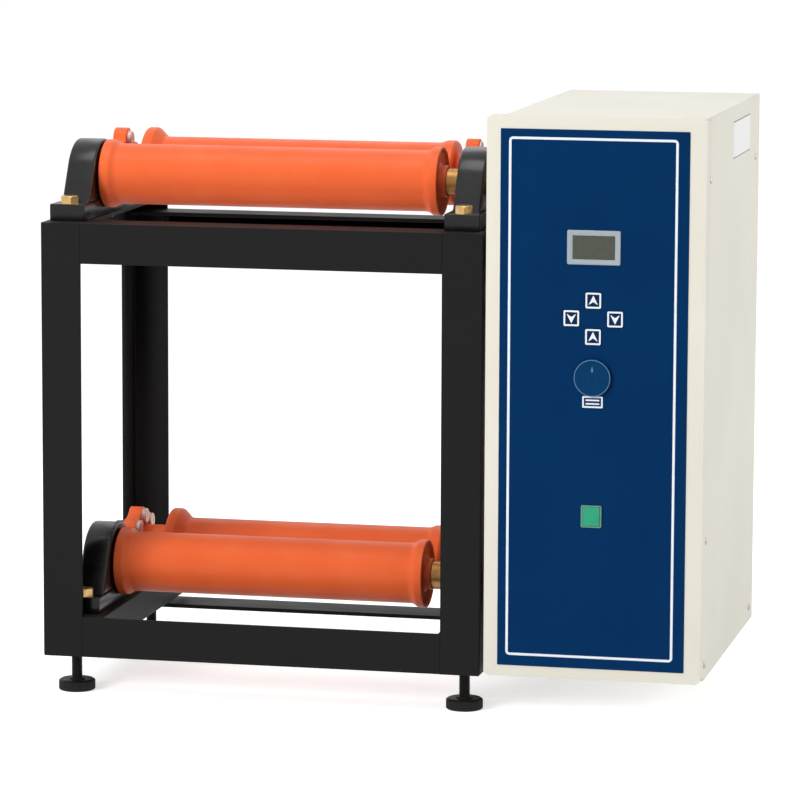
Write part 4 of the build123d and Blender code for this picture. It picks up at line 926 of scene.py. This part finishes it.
# Its outlines from the outer back over the face to the inner back: size, corner radius and depth
bezel_outlines = (
    (bezel_size, 1.6, overlay_face),
    (bezel_size, 1.6, bezel_shoulder),
    (bezel_size - 1.0, 1.2, bezel_face),
    (window_size + 1.6, 0.5, bezel_face),
    (window_size - 0.6, 0.4, bezel_shoulder),
    (window_size - 0.6, 0.4, overlay_face),
)
bezel_rings = np.array([rectangle(bezel_centre, *size, radius) for size, radius, _ in bezel_outlines])
bezel_depths = np.array([depth for _, _, depth in bezel_outlines])[:, None]
bezel = skin(placed(bezel_rings, bezel_depths, 1), joined=True)
piece("display_bezel_moulded", "machine", [bezel], bezel_plastic, ("display_bezel",))

arrow_half, key_line = 5.0, 1.7
arrow_points = arrow_half * np.array([(0, 1.0), (0.95, -0.9), (0, -0.25), (-0.95, -0.9)])
for key, points_up in (("key_up", 1), ("key_down", 1), ("key_left", -1), ("key_right", -1)):
    low, high = corners(key)
    centre, size = front_extent(low, high)
    cap = plate(rectangle(centre, *size, 1.6), low[1], high[1], 0.45, 1)
    piece(f"{key}_cap", f"{key}_body", [cap], key_silicone, (key,))
    arrow = eased(centre + arrow_points * (1, points_up), 0.25, 3)
    outline = ink_band(centre, *(size - 1.0), 1.4, key_line)
    printed(f"{key}_print", f"{key}_body", [outline, ink_area(arrow)], low[1])

# Speed knob: a low disc with a pale ring near its edge and a drop-shaped pointer
low, high = corners("speed_knob")
knob_centre = front_extent(low, high)[0]
knob_radius, knob_face, knob_back, stem_radius = (high[0] - low[0]) / 2, low[1] + 0.1, low[1] + 4.0, 3
ring_outer, ring_inner = knob_radius - 0.55, knob_radius - 1.25
knob_profile = eased(
    [
        (high[1], 0.6), (high[1], stem_radius), (knob_back, stem_radius), (knob_back, knob_radius),
        (knob_face, knob_radius - 0.5), (knob_face, 0.6),
    ],
    [0.2, 0.4, 0.4, 0.4, 0.9, 0.1],
)
knob = turned(knob_profile, knob_centre, 1, 128)
piece("speed_knob_turned", "speed_knob_body", [knob], knob_plastic, ("speed_knob",))
ray = rays(full_turn(288))
ring_back, ring_face = knob_face + 0.3, knob_face - 0.02
ring = band(knob_centre + ray * ring_outer, knob_centre + ray * ring_inner, ring_back, ring_face, 1)
drop_points = np.array([(0, 12.0), (1.1, 7.4), (0, 5.2), (-1.1, 7.4)])
drop = eased(knob_centre + drop_points, [0.2, 0.8, 0.2, 0.8], 4)
marks = [ring, ink_area(drop)(knob_face)]
piece("speed_knob_marks", "speed_knob_body", marks, knob_ink)

# Framed plate below the knob, with two plain bars
legend_drop, bar_rise = 23.65, 1.75
legend_centre = knob_centre - (0, legend_drop)
legend = [ink_band(legend_centre, 20.0, 11.3, 0.9, 1.6)]
legend += [ink_area(rectangle(legend_centre + (0, to * bar_rise), 13.4, 1.5, 0.3)) for to in (-1, 1)]
printed("speed_legend", "machine", legend, overlay_face)

# Start button: a crowned lens in its rim
low, high = corners("start_button")
centre, size = front_extent(low, high)
crown_height = 0.3
lens = plate(rectangle(centre, *size, 0.9), high[1], low[1] + crown_height, 0.4, 1, dome=-crown_height)
piece("start_button_lens", "start_button_body", [lens], green_lens, ("start_button",))
dressed(nylon_rim, "button_housing")

# Brass pins of the mains inlet
inlet_low, inlet_high = corners("mains_inlet")
inlet_middle = front_extent(inlet_low, inlet_high)[0]
pin_width, pin_height, pin_low, pin_high = 2.0, 4.6, inlet_high[1] - 15.5, inlet_high[1] - 5
pins = [
    plate(rectangle(inlet_middle + place, pin_width, pin_height, 0.5), pin_low, pin_high, 0.4, 1)
    for place in ((-5.5, -2.4), (5.5, -2.4), (0, 3.2))
]
piece("mains_inlet_pins", "machine", pins, yellow_zinc)

# ---- Floor, world and lamps ----


def either(tree, first, second):
    """One where either of two switches is on."""
    return add(tree, "ShaderNodeMath", operation="MAXIMUM", Value=first, Value_001=second).outputs[0]


def ray_kinds(tree):
    """Two switches: a ray straight from the camera, and one by way of a reflection or glass."""
    path = add(tree, "ShaderNodeLightPath").outputs
    return path["Is Camera Ray"], either(tree, path["Is Glossy Ray"], path["Is Transmission Ray"])


def joined_shaders(tree, kind, first, second, **sockets):
    """A node that adds or mixes two shaders."""
    made = add(tree, kind, **sockets)
    for shader, socket in zip((first, second), [s for s in made.inputs if s.type == "SHADER"]):
        tree.links.new(shader.outputs[0], socket)
    return made


# Half the floor's side in metres, the world's strength as light, and the floor's own light for the camera
FLOOR_HALF = 40.0
WORLD_LEVEL, PAPER_LIFT = 0.42, 0.63

floor_mesh = bpy.data.meshes.new("floor")
floor_corners = [(x, y, 0) for x, y in (CORNER_SIGNS * FLOOR_HALF).tolist()]
floor_mesh.from_pydata(floor_corners, [], [(0, 1, 2, 3)])
floor = in_scene("floor", floor_mesh)
floor_material = bpy.data.materials.new("white_studio_paper")
tree = bare_tree(floor_material)
straight, mirrored = ray_kinds(tree)
# The paper as the light sees it, as the camera sees it, and as reflections and glass show it
paper = add(tree, "ShaderNodeBsdfDiffuse", Color=srgb("e6e6e6"))
lit_paper = add(tree, "ShaderNodeBsdfDiffuse", Color=srgb("f4f4f4"))
lift = add(tree, "ShaderNodeEmission", Color=srgb("ffffff"), Strength=PAPER_LIFT)
plain_white = add(tree, "ShaderNodeEmission", Color=srgb("ffffff"), Strength=1.0)
bright_paper = joined_shaders(tree, "ShaderNodeAddShader", lit_paper, lift)
seen = joined_shaders(tree, "ShaderNodeMixShader", paper, bright_paper, Fac=straight)
reflected = joined_shaders(tree, "ShaderNodeMixShader", seen, plain_white, Fac=mirrored)
add(tree, "ShaderNodeOutputMaterial", Surface=reflected.outputs[0])
floor_mesh.materials.append(floor_material)

world = bpy.data.worlds.new("studio")
bpy.context.scene.world = world
tree = bare_tree(world)
shows = either(tree, *ray_kinds(tree))
level = add(tree, "ShaderNodeMapRange", Value=shows, To_Min=WORLD_LEVEL, To_Max=1.0)
sky = add(tree, "ShaderNodeBackground", Color=srgb("ffffff"), Strength=level.outputs["Result"])
add(tree, "ShaderNodeOutputWorld", Surface=sky.outputs[0])

# What the lamps are aimed at, in metres
MACHINE_MIDDLE = Vector((0, 0, 0.3))


def lamp(name, place, size, power):
    """A square soft lamp, in metres and watts."""
    data = bpy.data.lights.new(name, "AREA")
    data.size, data.energy = size, power
    made = in_scene(name, data)
    made.location = place
    made.rotation_mode = "QUATERNION"
    made.rotation_quaternion = (MACHINE_MIDDLE - Vector(place)).to_track_quat("-Z", "Y")
    return made


lamp("key_lamp", (-0.35, -0.75, 3.3), 1.4, 23)
# The front lamp leaves no mirror image of itself in the glossy blocks and bolts
lamp("front_lamp", (-1.8, -2.9, 1.6), 1.3, 75).visible_glossy = False
lamp("side_lamp", (2.6, 0.7, 1.2), 1.4, 23)
lamp("back_lamp", (-0.4, 2.3, 2.3), 1.4, 6)
bpy.context.scene.view_settings.view_transform = "Standard"
